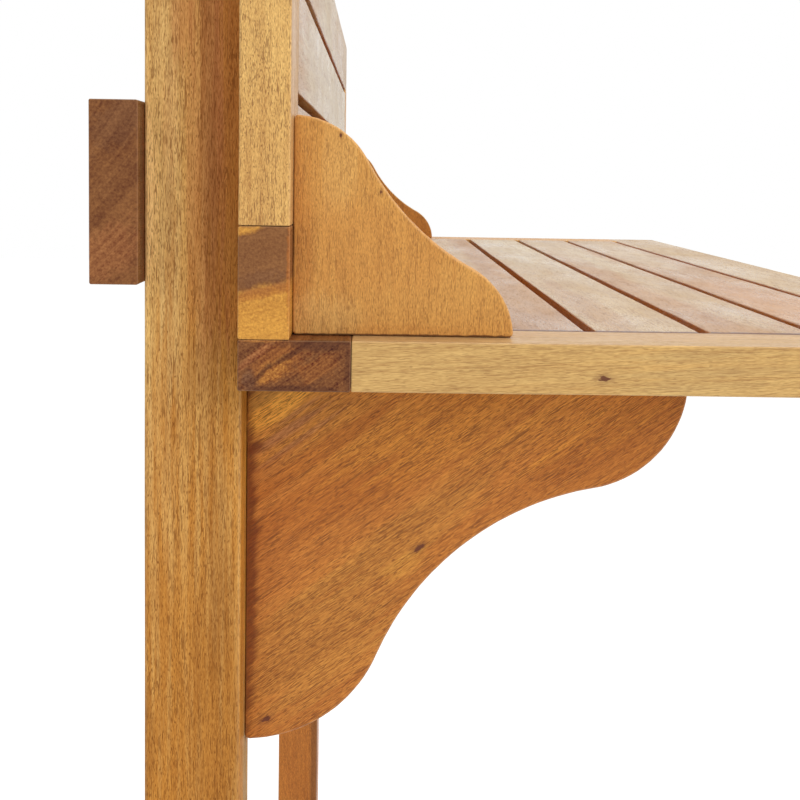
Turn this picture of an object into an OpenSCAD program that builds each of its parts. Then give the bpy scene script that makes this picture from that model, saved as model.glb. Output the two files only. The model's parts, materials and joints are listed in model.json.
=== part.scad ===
// Balcony bar table in solid wood: two uprights on floor runners carry a slatted top on
// shaped brackets, with a slatted backboard and two small end guards standing on the top.
// X runs along the top, the user stands at -Y, Z is up from the floor.

/* [Overall] */
// Length of the top and of the backboard
top_length = 900; // [800:10:1100]
// Height from the floor to the top of the uprights
total_height = 1225; // [1100:5:1300]

/* [Boards] */
// Width of every board of the top and of the backboard
board_w = 46; // [42:1:54]
// Thickness of the same boards
board_t = 21; // [20:0.5:26]
// Gap between neighbouring boards
board_gap = 5; // [4:0.5:8]
// Rounding of the long edges of all timber
edge_r = 1.5; // [1:0.5:4]
// Seam left where a board ends against another one
seam = 0.2; // [0.1:0.1:0.5]

/* [Uprights and battens] */
// Width of an upright, along the top
leg_w = 39; // [36:1:46]
// Depth of an upright, front to back
leg_d = 41; // [38:1:50]
// Distance from the end of the top in to the outer face of an upright
leg_inset = 20; // [16:1:24]
// Thickness of the battens across the back of the uprights
batten_t = 20; // [18:1:24]
// Height of a batten's section
batten_h = 75; // [66:1:80]
// Length of a batten past the outer face of an upright
batten_overhang = 14; // [0:1:16]
// Lower edge of the upper batten above the face of the top
upper_batten_rise = 21; // [16:1:26]
// Lower edge of the lower batten above the floor
lower_batten_z = 240; // [140:5:400]

/* [Shelf brackets] */
// Thickness of the brackets under the top
bracket_t = 18; // [16:1:22]
// Reach of a bracket forward from the upright
bracket_reach = 193.5; // [180:0.5:230]
// Drop of a bracket below the underside of the top
bracket_drop = 163.5; // [155:0.5:200]
// Rounding of the forward end
bracket_nose_r = 49; // [40:1:56]
// Rounding of the lower end
bracket_toe_r = 63; // [50:1:66]
// Radius of the hollow between the two ends
bracket_hollow_r = 127; // [110:1:180]

/* [End guards] */
// Thickness of the guards on the top
guard_t = 18; // [16:1:20]
// Reach of a guard forward from the backboard
guard_reach = 92.5; // [86:0.5:120]
// Height of a guard above the top
guard_rise = 91.5; // [86:0.5:95]
// Rounding of the forward end
guard_nose_r = 32; // [24:1:36]
// Rounding of the upper end
guard_toe_r = 35; // [28:1:40]
// Radius of the hollow between the two ends
guard_hollow_r = 112; // [80:1:130]
// Distance from the end of the top in to the outer face of a guard
guard_inset = 18; // [14:1:20]

/* [Runners and cleats] */
// Length of a floor runner
runner_length = 380; // [340:5:405]
// Height of a floor runner
runner_h = 45; // [40:1:60]
// Rounding of the upper corners of a runner
runner_corner_r = 18; // [10:1:24]
// Diameter of a floor glide
glide_d = 25; // [20:1:30]
// Thickness of a floor glide
glide_h = 4; // [3:0.5:8]
// Diameter of the stem of a glide
glide_stem_d = 5; // [4:0.5:8]
// Length of the stem of a glide
glide_stem_length = 12; // [8:1:16]
// Distance from a runner's end to the middle of a glide
glide_inset = 30; // [24:1:40]
// Width of the cleats across the middle of the boards
cleat_w = 40; // [30:1:50]
// Thickness of the cleat under the top
top_cleat_t = 18; // [16:1:24]
// Thickness of the cleat behind the backboard
back_cleat_t = 15; // [12:1:20]
// Distance from the end of a cleat to the outer edge of the boards
cleat_inset = 10; // [8:1:16]

/* [Dowels] */
// Diameter of the dowels in the board ends
dowel_d = 8; // [6:1:10]
// Length of those dowels, half in each board
dowel_length = 40; // [30:1:44]
// Diameter of the dowels in the brackets and guards
small_dowel_d = 6; // [5:0.5:7]
// Length of those dowels, half in each piece
small_dowel_length = 24; // [18:1:26]
// Space round a dowel
dowel_fit = 0.1; // [0.05:0.05:0.2]

/* [Bolts and screws] */
// Diameter of the bolt shanks
bolt_d = 6; // [5:1:8]
// Length of a bolt under its head
bolt_length = 50; // [46:1:54]
// Diameter of a bolt head
bolt_head_d = 14; // [12:1:16]
// Thickness of a bolt head
bolt_head_h = 2.5; // [2:0.5:4]
// Size of the hexagon recess across its corners
bolt_key_d = 4.6; // [3:0.1:5]
// Depth of the hexagon recess
bolt_key_depth = 2; // [1:0.5:2]
// Depth of the recess for a bolt head
bolt_recess = 3; // [3:0.5:6]
// Space round a bolt shank in timber
bolt_clearance = 0.25; // [0.1:0.05:0.5]
// Outer diameter of an insert nut
insert_d = 10; // [9:0.5:12]
// Length of an insert nut
insert_length = 13; // [10:1:14]
// Length of a runner bolt under its head
runner_bolt_length = 70; // [60:1:90]
// Depth of the hole for a runner bolt's head
runner_bolt_recess = 15; // [10:1:20]
// Diameter of a barrel nut
barrel_d = 10; // [9:0.5:12]
// Length of a barrel nut
barrel_length = 16; // [14:1:20]
// Diameter of a wood screw's shank
screw_d = 4.5; // [4:0.5:5]
// Diameter of a wood screw's head
screw_head_d = 9; // [8:0.5:10]
// Width of the arms of the cross recess in a screw head
screw_slot_w = 1; // [0.8:0.1:1.2]
// Depth of that recess
screw_slot_depth = 1.5; // [1:0.1:2]
// Length of the screws through a batten
batten_screw_length = 50; // [40:1:56]
// Length of the screws through a cleat
cleat_screw_length = 30; // [26:1:32]
// Length of the screws from the top up into the backboard
rail_screw_length = 45; // [36:1:60]

/* [Places of the fasteners] */
// Upper bolt of a shelf bracket, below the underside of the top
upper_bracket_bolt_drop = 35; // [34:1:60]
// Lower bolt of a shelf bracket, below the underside of the top
lower_bracket_bolt_drop = 125; // [100:1:135]
// Bolt of a stile, above the upper batten
stile_bolt_rise = 12; // [8:1:13]
// Screws of a batten, in from its long edges
batten_screw_inset = 20; // [15:1:25]
// Dowels of a shelf bracket, forward of the middle of each board
bracket_dowel_shift = 12; // [10:1:14]
// Dowels of an end rail, to each side of its middle
frame_dowel_shift = 12; // [11:1:14]
// Dowels of a stile, outward from its middle
stile_dowel_shift = 8; // [7:1:12]
// Lower dowel from a guard into the backboard, above the top
guard_low_dowel_rise = 18; // [17:1:19]
// Upper dowel from a guard into the backboard, above the top
guard_high_dowel_rise = 58; // [54:1:60]
// Rear dowel from a guard into the top, forward of the backboard
guard_rear_dowel_reach = 12; // [10:1:16]
// Front dowel from a guard into the top, forward of the backboard
guard_front_dowel_reach = 70; // [64:1:74]
// Runner bolt and runner dowel, behind and before the middle of an upright
runner_fastener_shift = 9; // [8:1:10]
// Middle of a barrel nut, back from the tip of its bolt
barrel_setback = 9; // [7:1:12]
// Inner screws up into the backboard, from the middle
inner_rail_screw_x = 150; // [60:5:240]
// Outer screws up into the backboard, from the middle
outer_rail_screw_x = 330; // [260:5:360]

/* [Hidden] */
$fn = 64;
top_slats = 5;
back_slats = 2;
thread_clearance = 0.05;
insert_fit = 0.05;
board_pitch = board_w + board_gap;
top_depth = (top_slats + 1) * board_pitch + board_w;
back_height = (back_slats + 1) * board_pitch + board_w;
total_depth = top_depth + leg_d + batten_t;

// Planes of the assembly
top_z = total_height - back_height;
under_z = top_z - board_t;
leg_front_y = total_depth / 2 - leg_d - batten_t;
leg_back_y = leg_front_y + leg_d;
leg_y = leg_front_y + leg_d / 2;
board_face_y = leg_front_y - board_t;
board_y = leg_front_y - board_t / 2;
plank_z = top_z - board_t / 2;
leg_out_x = top_length / 2 - leg_inset;
leg_in_x = leg_out_x - leg_w;
leg_x = leg_out_x - leg_w / 2;
leg_z = glide_h + runner_h;
end_x = top_length / 2 - board_w;
end_board_x = top_length / 2 - board_w / 2;
bracket_x = leg_in_x + bracket_t / 2;
guard_x = top_length / 2 - guard_inset - guard_t / 2;
upper_batten_z = top_z + upper_batten_rise;
runner_y = total_depth / 2 - runner_length / 2;

// Rows of boards, from the backboard forward and from the top upward
function row_y(k) = leg_front_y - board_w / 2 - k * board_pitch;
function row_z(k) = top_z + board_w / 2 + k * board_pitch;

// Places of the fasteners
bolt_x = (leg_out_x + end_x) / 2;
bracket_bolt_z = [under_z - upper_bracket_bolt_drop, under_z - lower_bracket_bolt_drop];
rail_bolt_z = [plank_z, upper_batten_z + batten_h + stile_bolt_rise, row_z(back_slats + 1)];
batten_screw_rise = [batten_screw_inset, batten_h - batten_screw_inset];
bracket_dowel_x = (leg_in_x + end_x) / 2;
bracket_dowel_rows = [0, 1, 2];
stile_dowel_x = end_board_x + stile_dowel_shift;
guard_back_dowel_z = [top_z + guard_low_dowel_rise, top_z + guard_high_dowel_rise];
guard_down_dowel_y = [board_face_y - guard_rear_dowel_reach, board_face_y - guard_front_dowel_reach];
runner_bolt_y = leg_y + runner_fastener_shift;
runner_dowel_y = leg_y - runner_fastener_shift;
runner_bolt_head_z = glide_h + runner_bolt_recess;
barrel_z = runner_bolt_head_z + runner_bolt_length - barrel_setback;
rail_screw_x = [inner_rail_screw_x, outer_rail_screw_x];

// Margin by which a cut runs past the surface it opens
cut = 1;

// Timber colours
honey = [0.80, 0.58, 0.32];
straw = [0.86, 0.70, 0.44];
amber = [0.70, 0.44, 0.19];
rose = [0.78, 0.60, 0.44];
walnut = [0.42, 0.28, 0.20];
beech = [0.84, 0.72, 0.54];
zinc = [0.72, 0.73, 0.74];

// Placing helpers

module sided(side) mirror([side < 0 ? 1 : 0, 0, 0]) children();

module both_sides() for (side = [-1, 1]) sided(side) children();

module rod_x(length, d) rotate([0, 90, 0]) cylinder(h = length, d = d, center = true);

module rod_y(length, d) rotate([90, 0, 0]) cylinder(h = length, d = d, center = true);

module rod_z(length, d) cylinder(h = length, d = d, center = true);

// Timber sections and boards, centred on the origin

module section(a, b, r = edge_r) {
    square([a - 2 * r, b], center = true);
    square([a, b - 2 * r], center = true);
    for (i = [-1, 1], j = [-1, 1]) translate([i * (a / 2 - r), j * (b / 2 - r)]) circle(r);
}

module board_along_x(length, y, z) {
    rotate([90, 0, 90]) linear_extrude(length, center = true) section(y, z);
}

module board_along_y(length, x, z) {
    rotate([90, 0, 0]) linear_extrude(length, center = true) section(x, z);
}

module board_along_z(length, x, y) linear_extrude(length, center = true) section(x, y);

// Outline of a bracket: two rounds joined by a hollow that touches both of them

function touching_centre(a, ra, b, rb, r) =
    let (span = norm(b - a), u = (b - a) / span,
         along = (span ^ 2 + (r + ra) ^ 2 - (r + rb) ^ 2) / (2 * span),
         out = sqrt((r + ra) ^ 2 - along ^ 2))
    a + along * u + out * [u.y, -u.x];

module ogee(reach, drop, nose_r, toe_r, hollow_r) {
    nose = [reach - nose_r, 0];
    toe = [0, drop - toe_r];
    hollow = touching_centre(nose, nose_r, toe, toe_r, hollow_r);
    difference() {
        polygon([[0, 0], nose, hollow, toe]);
        translate(hollow) circle(hollow_r);
    }
    intersection() {
        square([reach, drop]);
        union() {
            translate(nose) circle(nose_r);
            translate(toe) circle(toe_r);
        }
    }
}

// Fasteners

module bolt(length) {
    // Head in the plane of the origin, shank towards -Z
    difference() {
        cylinder(h = bolt_head_h, d = bolt_head_d);
        translate([0, 0, bolt_head_h - bolt_key_depth]) {
            cylinder(h = bolt_key_depth + cut, d = bolt_key_d, $fn = 6);
        }
    }
    translate([0, 0, -length]) cylinder(h = length, d = bolt_d);
}

module bolt_hole(length, recess) {
    cylinder(h = recess + cut, d = bolt_head_d + 2 * bolt_clearance);
    translate([0, 0, -length - cut]) cylinder(h = length + 2 * cut, d = bolt_d + 2 * bolt_clearance);
}

module screw(length) {
    // Top of the countersunk head at the origin, point towards -Z
    head_h = (screw_head_d - screw_d) / 2;
    difference() {
        translate([0, 0, -head_h]) cylinder(h = head_h, d1 = screw_d, d2 = screw_head_d);
        for (turn = [0, 90]) rotate([0, 0, turn]) {
            cube([screw_d, screw_slot_w, 2 * screw_slot_depth], center = true);
        }
    }
    translate([0, 0, -length + screw_d]) cylinder(h = length - screw_d - head_h, d = screw_d);
    translate([0, 0, -length]) cylinder(h = screw_d, d1 = 0, d2 = screw_d);
}

module screw_hole(length) {
    head_h = (screw_head_d - screw_d) / 2;
    fit = thread_clearance;
    translate([0, 0, -head_h]) {
        cylinder(h = head_h + fit, d1 = screw_d + 2 * fit, d2 = screw_head_d + 4 * fit);
    }
    translate([0, 0, -length - fit]) cylinder(h = length, d = screw_d + 2 * fit);
}

// Bolts through the uprights, with their heads sunk in the back

module at_leg_bolts() {
    for (z = bracket_bolt_z) {
        translate([bracket_x, leg_back_y - bolt_recess, z]) rotate([-90, 0, 0]) children();
    }
    for (z = rail_bolt_z) {
        translate([bolt_x, leg_back_y - bolt_recess, z]) rotate([-90, 0, 0]) children();
    }
}

module leg_bolt_holes() at_leg_bolts() bolt_hole(bolt_length, bolt_recess);

module at_inserts() {
    for (z = bracket_bolt_z) translate([bracket_x, leg_front_y - insert_length / 2, z]) children();
    for (z = rail_bolt_z) translate([bolt_x, leg_front_y - insert_length / 2, z]) children();
}

module insert_holes() at_inserts() {
    translate([0, insert_fit / 2, 0]) rod_y(insert_length + insert_fit, insert_d + 2 * insert_fit);
}

module runner_bolt_place() {
    translate([leg_x, runner_bolt_y, runner_bolt_head_z]) rotate([180, 0, 0]) children();
}

module runner_holes() {
    runner_bolt_place() bolt_hole(runner_bolt_length, runner_bolt_recess);
    at_runner_dowel() rod_z(dowel_length, dowel_d + 2 * dowel_fit);
}

module at_runner_dowel() translate([leg_x, runner_dowel_y, leg_z]) children();

module barrel_hole() {
    depth = leg_x + barrel_length / 2 - leg_in_x;
    translate([leg_in_x + (depth - cut) / 2, runner_bolt_y, barrel_z]) {
        rod_x(depth + cut, barrel_d + 2 * bolt_clearance);
    }
}

// Screws from behind through the battens

module at_batten_screws() {
    for (z = [upper_batten_z, lower_batten_z], rise = batten_screw_rise) {
        translate([leg_x, leg_back_y + batten_t, z + rise]) rotate([-90, 0, 0]) children();
    }
}

module batten_screw_holes() at_batten_screws() screw_hole(batten_screw_length);

// Screws through the two cleats, one in each board

module at_top_cleat_screws() {
    for (k = [0 : top_slats + 1]) {
        translate([0, row_y(k), under_z - top_cleat_t]) rotate([180, 0, 0]) children();
    }
}

module at_board_cleat_screws() {
    for (k = [0 : back_slats + 1]) {
        translate([0, leg_front_y + back_cleat_t, row_z(k)]) rotate([-90, 0, 0]) children();
    }
}

module top_cleat_screw_holes() at_top_cleat_screws() screw_hole(cleat_screw_length);

module board_cleat_screw_holes() at_board_cleat_screws() screw_hole(cleat_screw_length);

// Screws up through the back rail of the top into the backboard

module at_rail_screws() {
    for (x = rail_screw_x) translate([x, board_y, under_z]) rotate([180, 0, 0]) children();
}

module rail_screw_holes() both_sides() at_rail_screws() screw_hole(rail_screw_length);

// Dowels that join the boards of the top, end to side

module at_slat_dowels() {
    for (k = [1 : top_slats]) translate([end_x, row_y(k), plank_z]) children();
}

module at_frame_dowels() {
    for (k = [0, top_slats + 1], shift = [-frame_dowel_shift, frame_dowel_shift]) {
        inner = row_y(k) + (k == 0 ? -1 : 1) * board_w / 2;
        translate([end_board_x + shift, inner, plank_z]) children();
    }
}

module top_dowel_holes() {
    at_slat_dowels() rod_x(dowel_length, dowel_d + 2 * dowel_fit);
    at_frame_dowels() rod_y(dowel_length, dowel_d + 2 * dowel_fit);
}

// Dowels that join the boards of the backboard

module at_stile_dowels() {
    for (z = [row_z(0) + board_w / 2, row_z(back_slats + 1) - board_w / 2]) {
        translate([stile_dowel_x, board_y, z]) children();
    }
}

module at_back_slat_dowels() {
    for (k = [1 : back_slats]) translate([end_x, board_y, row_z(k)]) children();
}

module board_dowel_holes() {
    at_stile_dowels() rod_z(dowel_length, dowel_d + 2 * dowel_fit);
    at_back_slat_dowels() rod_x(dowel_length, dowel_d + 2 * dowel_fit);
}

// Dowels up from the shelf brackets into the boards they carry

module at_bracket_dowels() {
    for (k = bracket_dowel_rows) {
        translate([bracket_dowel_x, row_y(k) - bracket_dowel_shift, under_z]) children();
    }
}

module bracket_dowel_holes() at_bracket_dowels() rod_z(small_dowel_length, small_dowel_d + 2 * dowel_fit);

// Dowels from the guards down into the top and back into the backboard

module guard_dowel_set(extra) {
    for (y = guard_down_dowel_y) {
        translate([guard_x, y, top_z]) rod_z(small_dowel_length, small_dowel_d + extra);
    }
    for (z = guard_back_dowel_z) {
        translate([guard_x, board_face_y, z]) rod_y(small_dowel_length, small_dowel_d + extra);
    }
}

module guard_dowel_holes() guard_dowel_set(2 * dowel_fit);

// Uprights, runners and battens

module leg(side) color(honey) sided(side) difference() {
    translate([leg_x, leg_y, (leg_z + total_height) / 2]) {
        board_along_z(total_height - leg_z, leg_w, leg_d);
    }
    leg_bolt_holes();
    batten_screw_holes();
    runner_holes();
    barrel_hole();
}

module runner_outline(r = runner_corner_r) {
    translate([0, runner_h / 2]) square([runner_length - 2 * r, runner_h], center = true);
    translate([0, (runner_h - r) / 2]) square([runner_length, runner_h - r], center = true);
    for (end = [-1, 1]) translate([end * (runner_length / 2 - r), runner_h - r]) circle(r);
}

module runner(side) color(amber) sided(side) difference() {
    translate([leg_x, runner_y, glide_h]) rotate([90, 0, 90]) {
        linear_extrude(leg_w, center = true) runner_outline();
    }
    runner_holes();
    at_glides() glide_stem(2 * dowel_fit);
}

module at_glides() {
    for (end = [-1, 1]) {
        translate([leg_x, runner_y + end * (runner_length / 2 - glide_inset), glide_h]) children();
    }
}

module glide_stem(extra) cylinder(h = glide_stem_length + extra, d = glide_stem_d + extra);

module floor_glides() color([0.16, 0.15, 0.14]) both_sides() at_glides() {
    translate([0, 0, -glide_h]) cylinder(h = glide_h, d = glide_d);
    glide_stem(0);
}

module batten(z, tone) color(tone) difference() {
    translate([0, leg_back_y + batten_t / 2, z + batten_h / 2]) {
        board_along_x(2 * (leg_out_x + batten_overhang), batten_t, batten_h);
    }
    both_sides() batten_screw_holes();
}

// The top: two long rails, two end rails and the slats between them

module top_long_rail(k, tone) color(tone) difference() {
    translate([0, row_y(k), plank_z]) board_along_x(top_length, board_w, board_t);
    both_sides() {
        top_dowel_holes();
        insert_holes();
        leg_bolt_holes();
        bracket_dowel_holes();
        guard_dowel_holes();
    }
    top_cleat_screw_holes();
    rail_screw_holes();
}

module top_end_rail(side) color(straw) sided(side) difference() {
    length = top_depth - 2 * board_w - 2 * seam;
    middle = (row_y(0) + row_y(top_slats + 1)) / 2;
    translate([end_board_x, middle, plank_z]) board_along_y(length, board_w, board_t);
    top_dowel_holes();
    guard_dowel_holes();
}

module top_slat(k) color(rose) difference() {
    translate([0, row_y(k), plank_z]) board_along_x(2 * (end_x - seam), board_w, board_t);
    both_sides() {
        top_dowel_holes();
        bracket_dowel_holes();
    }
    top_cleat_screw_holes();
}

module top_cleat() color(honey) difference() {
    length = top_depth - 2 * cleat_inset;
    middle = (row_y(0) + row_y(top_slats + 1)) / 2;
    translate([0, middle, under_z - top_cleat_t / 2]) board_along_y(length, cleat_w, top_cleat_t);
    top_cleat_screw_holes();
}

// The backboard: two long rails, two stiles and the slats between them

module board_rail(k, tone) color(tone) difference() {
    translate([0, board_y, row_z(k)]) board_along_x(top_length, board_t, board_w);
    both_sides() {
        board_dowel_holes();
        guard_dowel_holes();
        insert_holes();
        leg_bolt_holes();
    }
    board_cleat_screw_holes();
    rail_screw_holes();
}

module board_stile(side) color(straw) sided(side) difference() {
    low = row_z(0) + board_w / 2 + seam;
    high = row_z(back_slats + 1) - board_w / 2 - seam;
    translate([end_board_x, board_y, (low + high) / 2]) board_along_z(high - low, board_w, board_t);
    board_dowel_holes();
    guard_dowel_holes();
    insert_holes();
    leg_bolt_holes();
}

module board_slat(k) color(rose) difference() {
    translate([0, board_y, row_z(k)]) board_along_x(2 * (end_x - seam), board_t, board_w);
    both_sides() board_dowel_holes();
    board_cleat_screw_holes();
}

module board_cleat() color(honey) difference() {
    length = back_height - 2 * cleat_inset;
    translate([0, leg_front_y + back_cleat_t / 2, top_z + back_height / 2]) {
        board_along_z(length, cleat_w, back_cleat_t);
    }
    board_cleat_screw_holes();
}

// Brackets under the top and guards on it

module shelf_bracket(side) color(amber) sided(side) difference() {
    translate([bracket_x, leg_front_y, under_z]) rotate([-90, 0, -90]) {
        linear_extrude(bracket_t, center = true) {
            ogee(bracket_reach, bracket_drop, bracket_nose_r, bracket_toe_r, bracket_hollow_r);
        }
    }
    insert_holes();
    leg_bolt_holes();
    bracket_dowel_holes();
}

module end_guard(side) color(honey) sided(side) difference() {
    translate([guard_x, board_face_y, top_z]) rotate([90, 0, -90]) {
        linear_extrude(guard_t, center = true) {
            ogee(guard_reach, guard_rise, guard_nose_r, guard_toe_r, guard_hollow_r);
        }
    }
    guard_dowel_holes();
}

// Hardware

module leg_bolts() color(zinc) both_sides() at_leg_bolts() bolt(bolt_length);

module insert_nuts() color([0.75, 0.62, 0.32]) both_sides() at_inserts() difference() {
    rod_y(insert_length, insert_d);
    rod_y(insert_length + cut, bolt_d + 2 * thread_clearance);
}

module runner_bolts() color(zinc) both_sides() runner_bolt_place() bolt(runner_bolt_length);

module barrel_nuts() color(zinc) both_sides() difference() {
    translate([leg_x, runner_bolt_y, barrel_z]) rod_x(barrel_length, barrel_d);
    translate([leg_x, runner_bolt_y, barrel_z]) rod_z(barrel_d + cut, bolt_d + 2 * thread_clearance);
}

module runner_dowels() color(beech) both_sides() at_runner_dowel() rod_z(dowel_length, dowel_d);

module batten_screws() color(zinc) both_sides() at_batten_screws() screw(batten_screw_length);

module cleat_screws() color(zinc) {
    at_top_cleat_screws() screw(cleat_screw_length);
    at_board_cleat_screws() screw(cleat_screw_length);
}

module rail_screws() color(zinc) both_sides() at_rail_screws() screw(rail_screw_length);

module top_dowels() color(beech) both_sides() {
    at_slat_dowels() rod_x(dowel_length, dowel_d);
    at_frame_dowels() rod_y(dowel_length, dowel_d);
}

module board_dowels() color(beech) both_sides() {
    at_stile_dowels() rod_z(dowel_length, dowel_d);
    at_back_slat_dowels() rod_x(dowel_length, dowel_d);
}

module bracket_dowels() color(beech) both_sides() at_bracket_dowels() {
    rod_z(small_dowel_length, small_dowel_d);
}

module guard_dowels() color(beech) both_sides() guard_dowel_set(0);

leg(-1);  // left_leg
leg(1);  // right_leg
runner(-1);  // left_runner
runner(1);  // right_runner
floor_glides();
batten(upper_batten_z, walnut);  // upper_batten
batten(lower_batten_z, honey);  // lower_batten
top_long_rail(0, walnut);  // top_back_rail
top_long_rail(top_slats + 1, honey);  // top_front_rail
top_end_rail(-1);  // top_left_end_rail
top_end_rail(1);  // top_right_end_rail
top_slat(1);  // top_slat_1
top_slat(2);  // top_slat_2
top_slat(3);  // top_slat_3
top_slat(4);  // top_slat_4
top_slat(5);  // top_slat_5
top_cleat();
board_rail(0, honey);  // board_bottom_rail
board_rail(back_slats + 1, rose);  // board_top_rail
board_stile(-1);  // board_left_stile
board_stile(1);  // board_right_stile
board_slat(1);  // board_lower_slat
board_slat(2);  // board_upper_slat
board_cleat();
shelf_bracket(-1);  // left_shelf_bracket
shelf_bracket(1);  // right_shelf_bracket
end_guard(-1);  // left_end_guard
end_guard(1);  // right_end_guard
leg_bolts();
insert_nuts();
runner_bolts();
barrel_nuts();
runner_dowels();
batten_screws();
cleat_screws();
rail_screws();
top_dowels();
board_dowels();
bracket_dowels();
guard_dowels();
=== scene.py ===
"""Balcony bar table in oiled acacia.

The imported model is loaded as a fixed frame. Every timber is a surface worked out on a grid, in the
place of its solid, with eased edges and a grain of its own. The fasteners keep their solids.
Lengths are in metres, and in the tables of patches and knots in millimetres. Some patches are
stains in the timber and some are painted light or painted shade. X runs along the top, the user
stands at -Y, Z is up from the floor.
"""
import json
import math

import bpy
import numpy as np
from bpy.props import FloatProperty, FloatVectorProperty, PointerProperty
from mathutils import Euler, Matrix, Vector


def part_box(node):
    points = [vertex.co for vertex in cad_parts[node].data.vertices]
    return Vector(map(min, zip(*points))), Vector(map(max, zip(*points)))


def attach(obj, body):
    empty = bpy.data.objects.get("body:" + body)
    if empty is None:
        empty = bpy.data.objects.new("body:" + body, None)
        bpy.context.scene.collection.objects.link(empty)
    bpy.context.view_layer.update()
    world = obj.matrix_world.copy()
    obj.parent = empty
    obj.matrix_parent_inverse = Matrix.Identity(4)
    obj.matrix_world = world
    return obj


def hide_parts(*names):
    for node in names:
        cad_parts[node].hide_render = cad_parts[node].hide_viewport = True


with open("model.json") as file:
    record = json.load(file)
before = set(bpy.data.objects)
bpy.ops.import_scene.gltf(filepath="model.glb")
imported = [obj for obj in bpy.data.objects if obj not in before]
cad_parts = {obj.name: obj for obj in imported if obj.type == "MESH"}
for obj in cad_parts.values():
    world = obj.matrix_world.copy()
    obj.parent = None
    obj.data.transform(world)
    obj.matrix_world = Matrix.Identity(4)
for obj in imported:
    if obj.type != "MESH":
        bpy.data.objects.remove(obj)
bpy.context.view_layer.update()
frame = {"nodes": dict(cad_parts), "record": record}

bl_info = {
    "name": "Balcony Bar Table",
    "version": (1, 0, 0),
    "blender": (4, 5, 0),
    "location": "3D View > Sidebar > Table",
    "description": "Builds the timbers, finishes and stage of a balcony bar table",
    "category": "Add Mesh",
}

X_AXIS, Y_AXIS, Z_AXIS = range(3)
QUARTER_TURN = math.pi / 2
MM = 0.001
# How far a cutter stands out of the timber that it cuts
PROUD = 0.002


def length(name, description, default, low=0.0):
    """A property that holds a length in metres."""
    return FloatProperty(name=name, description=description, default=default, min=low,
                         precision=5, subtype="DISTANCE", unit="LENGTH")


def heading(name, description, default):
    """A property that holds an angle in radians."""
    return FloatProperty(name=name, description=description, default=default,
                         subtype="ANGLE", unit="ROTATION")


def share(name, description, default, low=0.0):
    """A property that holds a plain share or factor."""
    return FloatProperty(name=name, description=description, default=default, min=low)


def tone(name, description, default):
    """A property that holds a scene-linear colour."""
    return FloatVectorProperty(name=name, description=description, default=default,
                               min=0.0, max=1.0, subtype="COLOR")


class TimberSizes(bpy.types.PropertyGroup):
    """Roundings and cuts of the timbers; their lengths and sections come from the frame."""

    edge_radius: length("Edge rounding", "Rounding of a board's long edges", 0.0009)
    leg_radius: length("Upright rounding", "Rounding of an upright's long edges", 0.0016)
    end_easing: length("End easing", "Rounding of the edges of a board's ends", 0.0005)
    corner_margin: length("Corner margin", "Radius of a corner beyond its rim", 0.0010)
    wear: length("Wear", "Deepest hollow that sanding left in a face", 0.00012)
    ring_step: length("Ring step", "Distance between the rings of vertices", 0.02)
    bracket_rim: length("Bracket rim", "Rounding of a bracket's rims", 0.0012)
    bracket_nose: length("Bracket nose", "Radius of a bracket's forward end", 0.049)
    bracket_toe: length("Bracket toe", "Radius of a bracket's lower end", 0.063)
    bracket_hollow: length("Bracket hollow", "Radius between the two ends", 0.127)
    guard_rim: length("Guard rim", "Rounding of a guard's rims", 0.0010)
    guard_nose: length("Guard nose", "Radius of a guard's forward end", 0.032)
    guard_toe: length("Guard toe", "Radius of a guard's upper end", 0.035)
    guard_hollow: length("Guard hollow", "Radius between the two ends", 0.112)
    runner_rim: length("Runner rim", "Rounding of a runner's rims", 0.0025)
    runner_corner: length("Runner corner", "Radius of a runner's upper corners", 0.018)
    head_recess: length("Head recess", "Depth of the recess for a bolt head", 0.003)
    barrel_depth: length("Barrel hole", "Depth of the hole for a barrel nut", 0.0278)
    hole_clearance: length("Clearance", "Space round a bolt head or barrel nut", 0.00025)
    hole_easing: length("Hole easing", "Width of the eased mouth of a hole", 0.0004)


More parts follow.
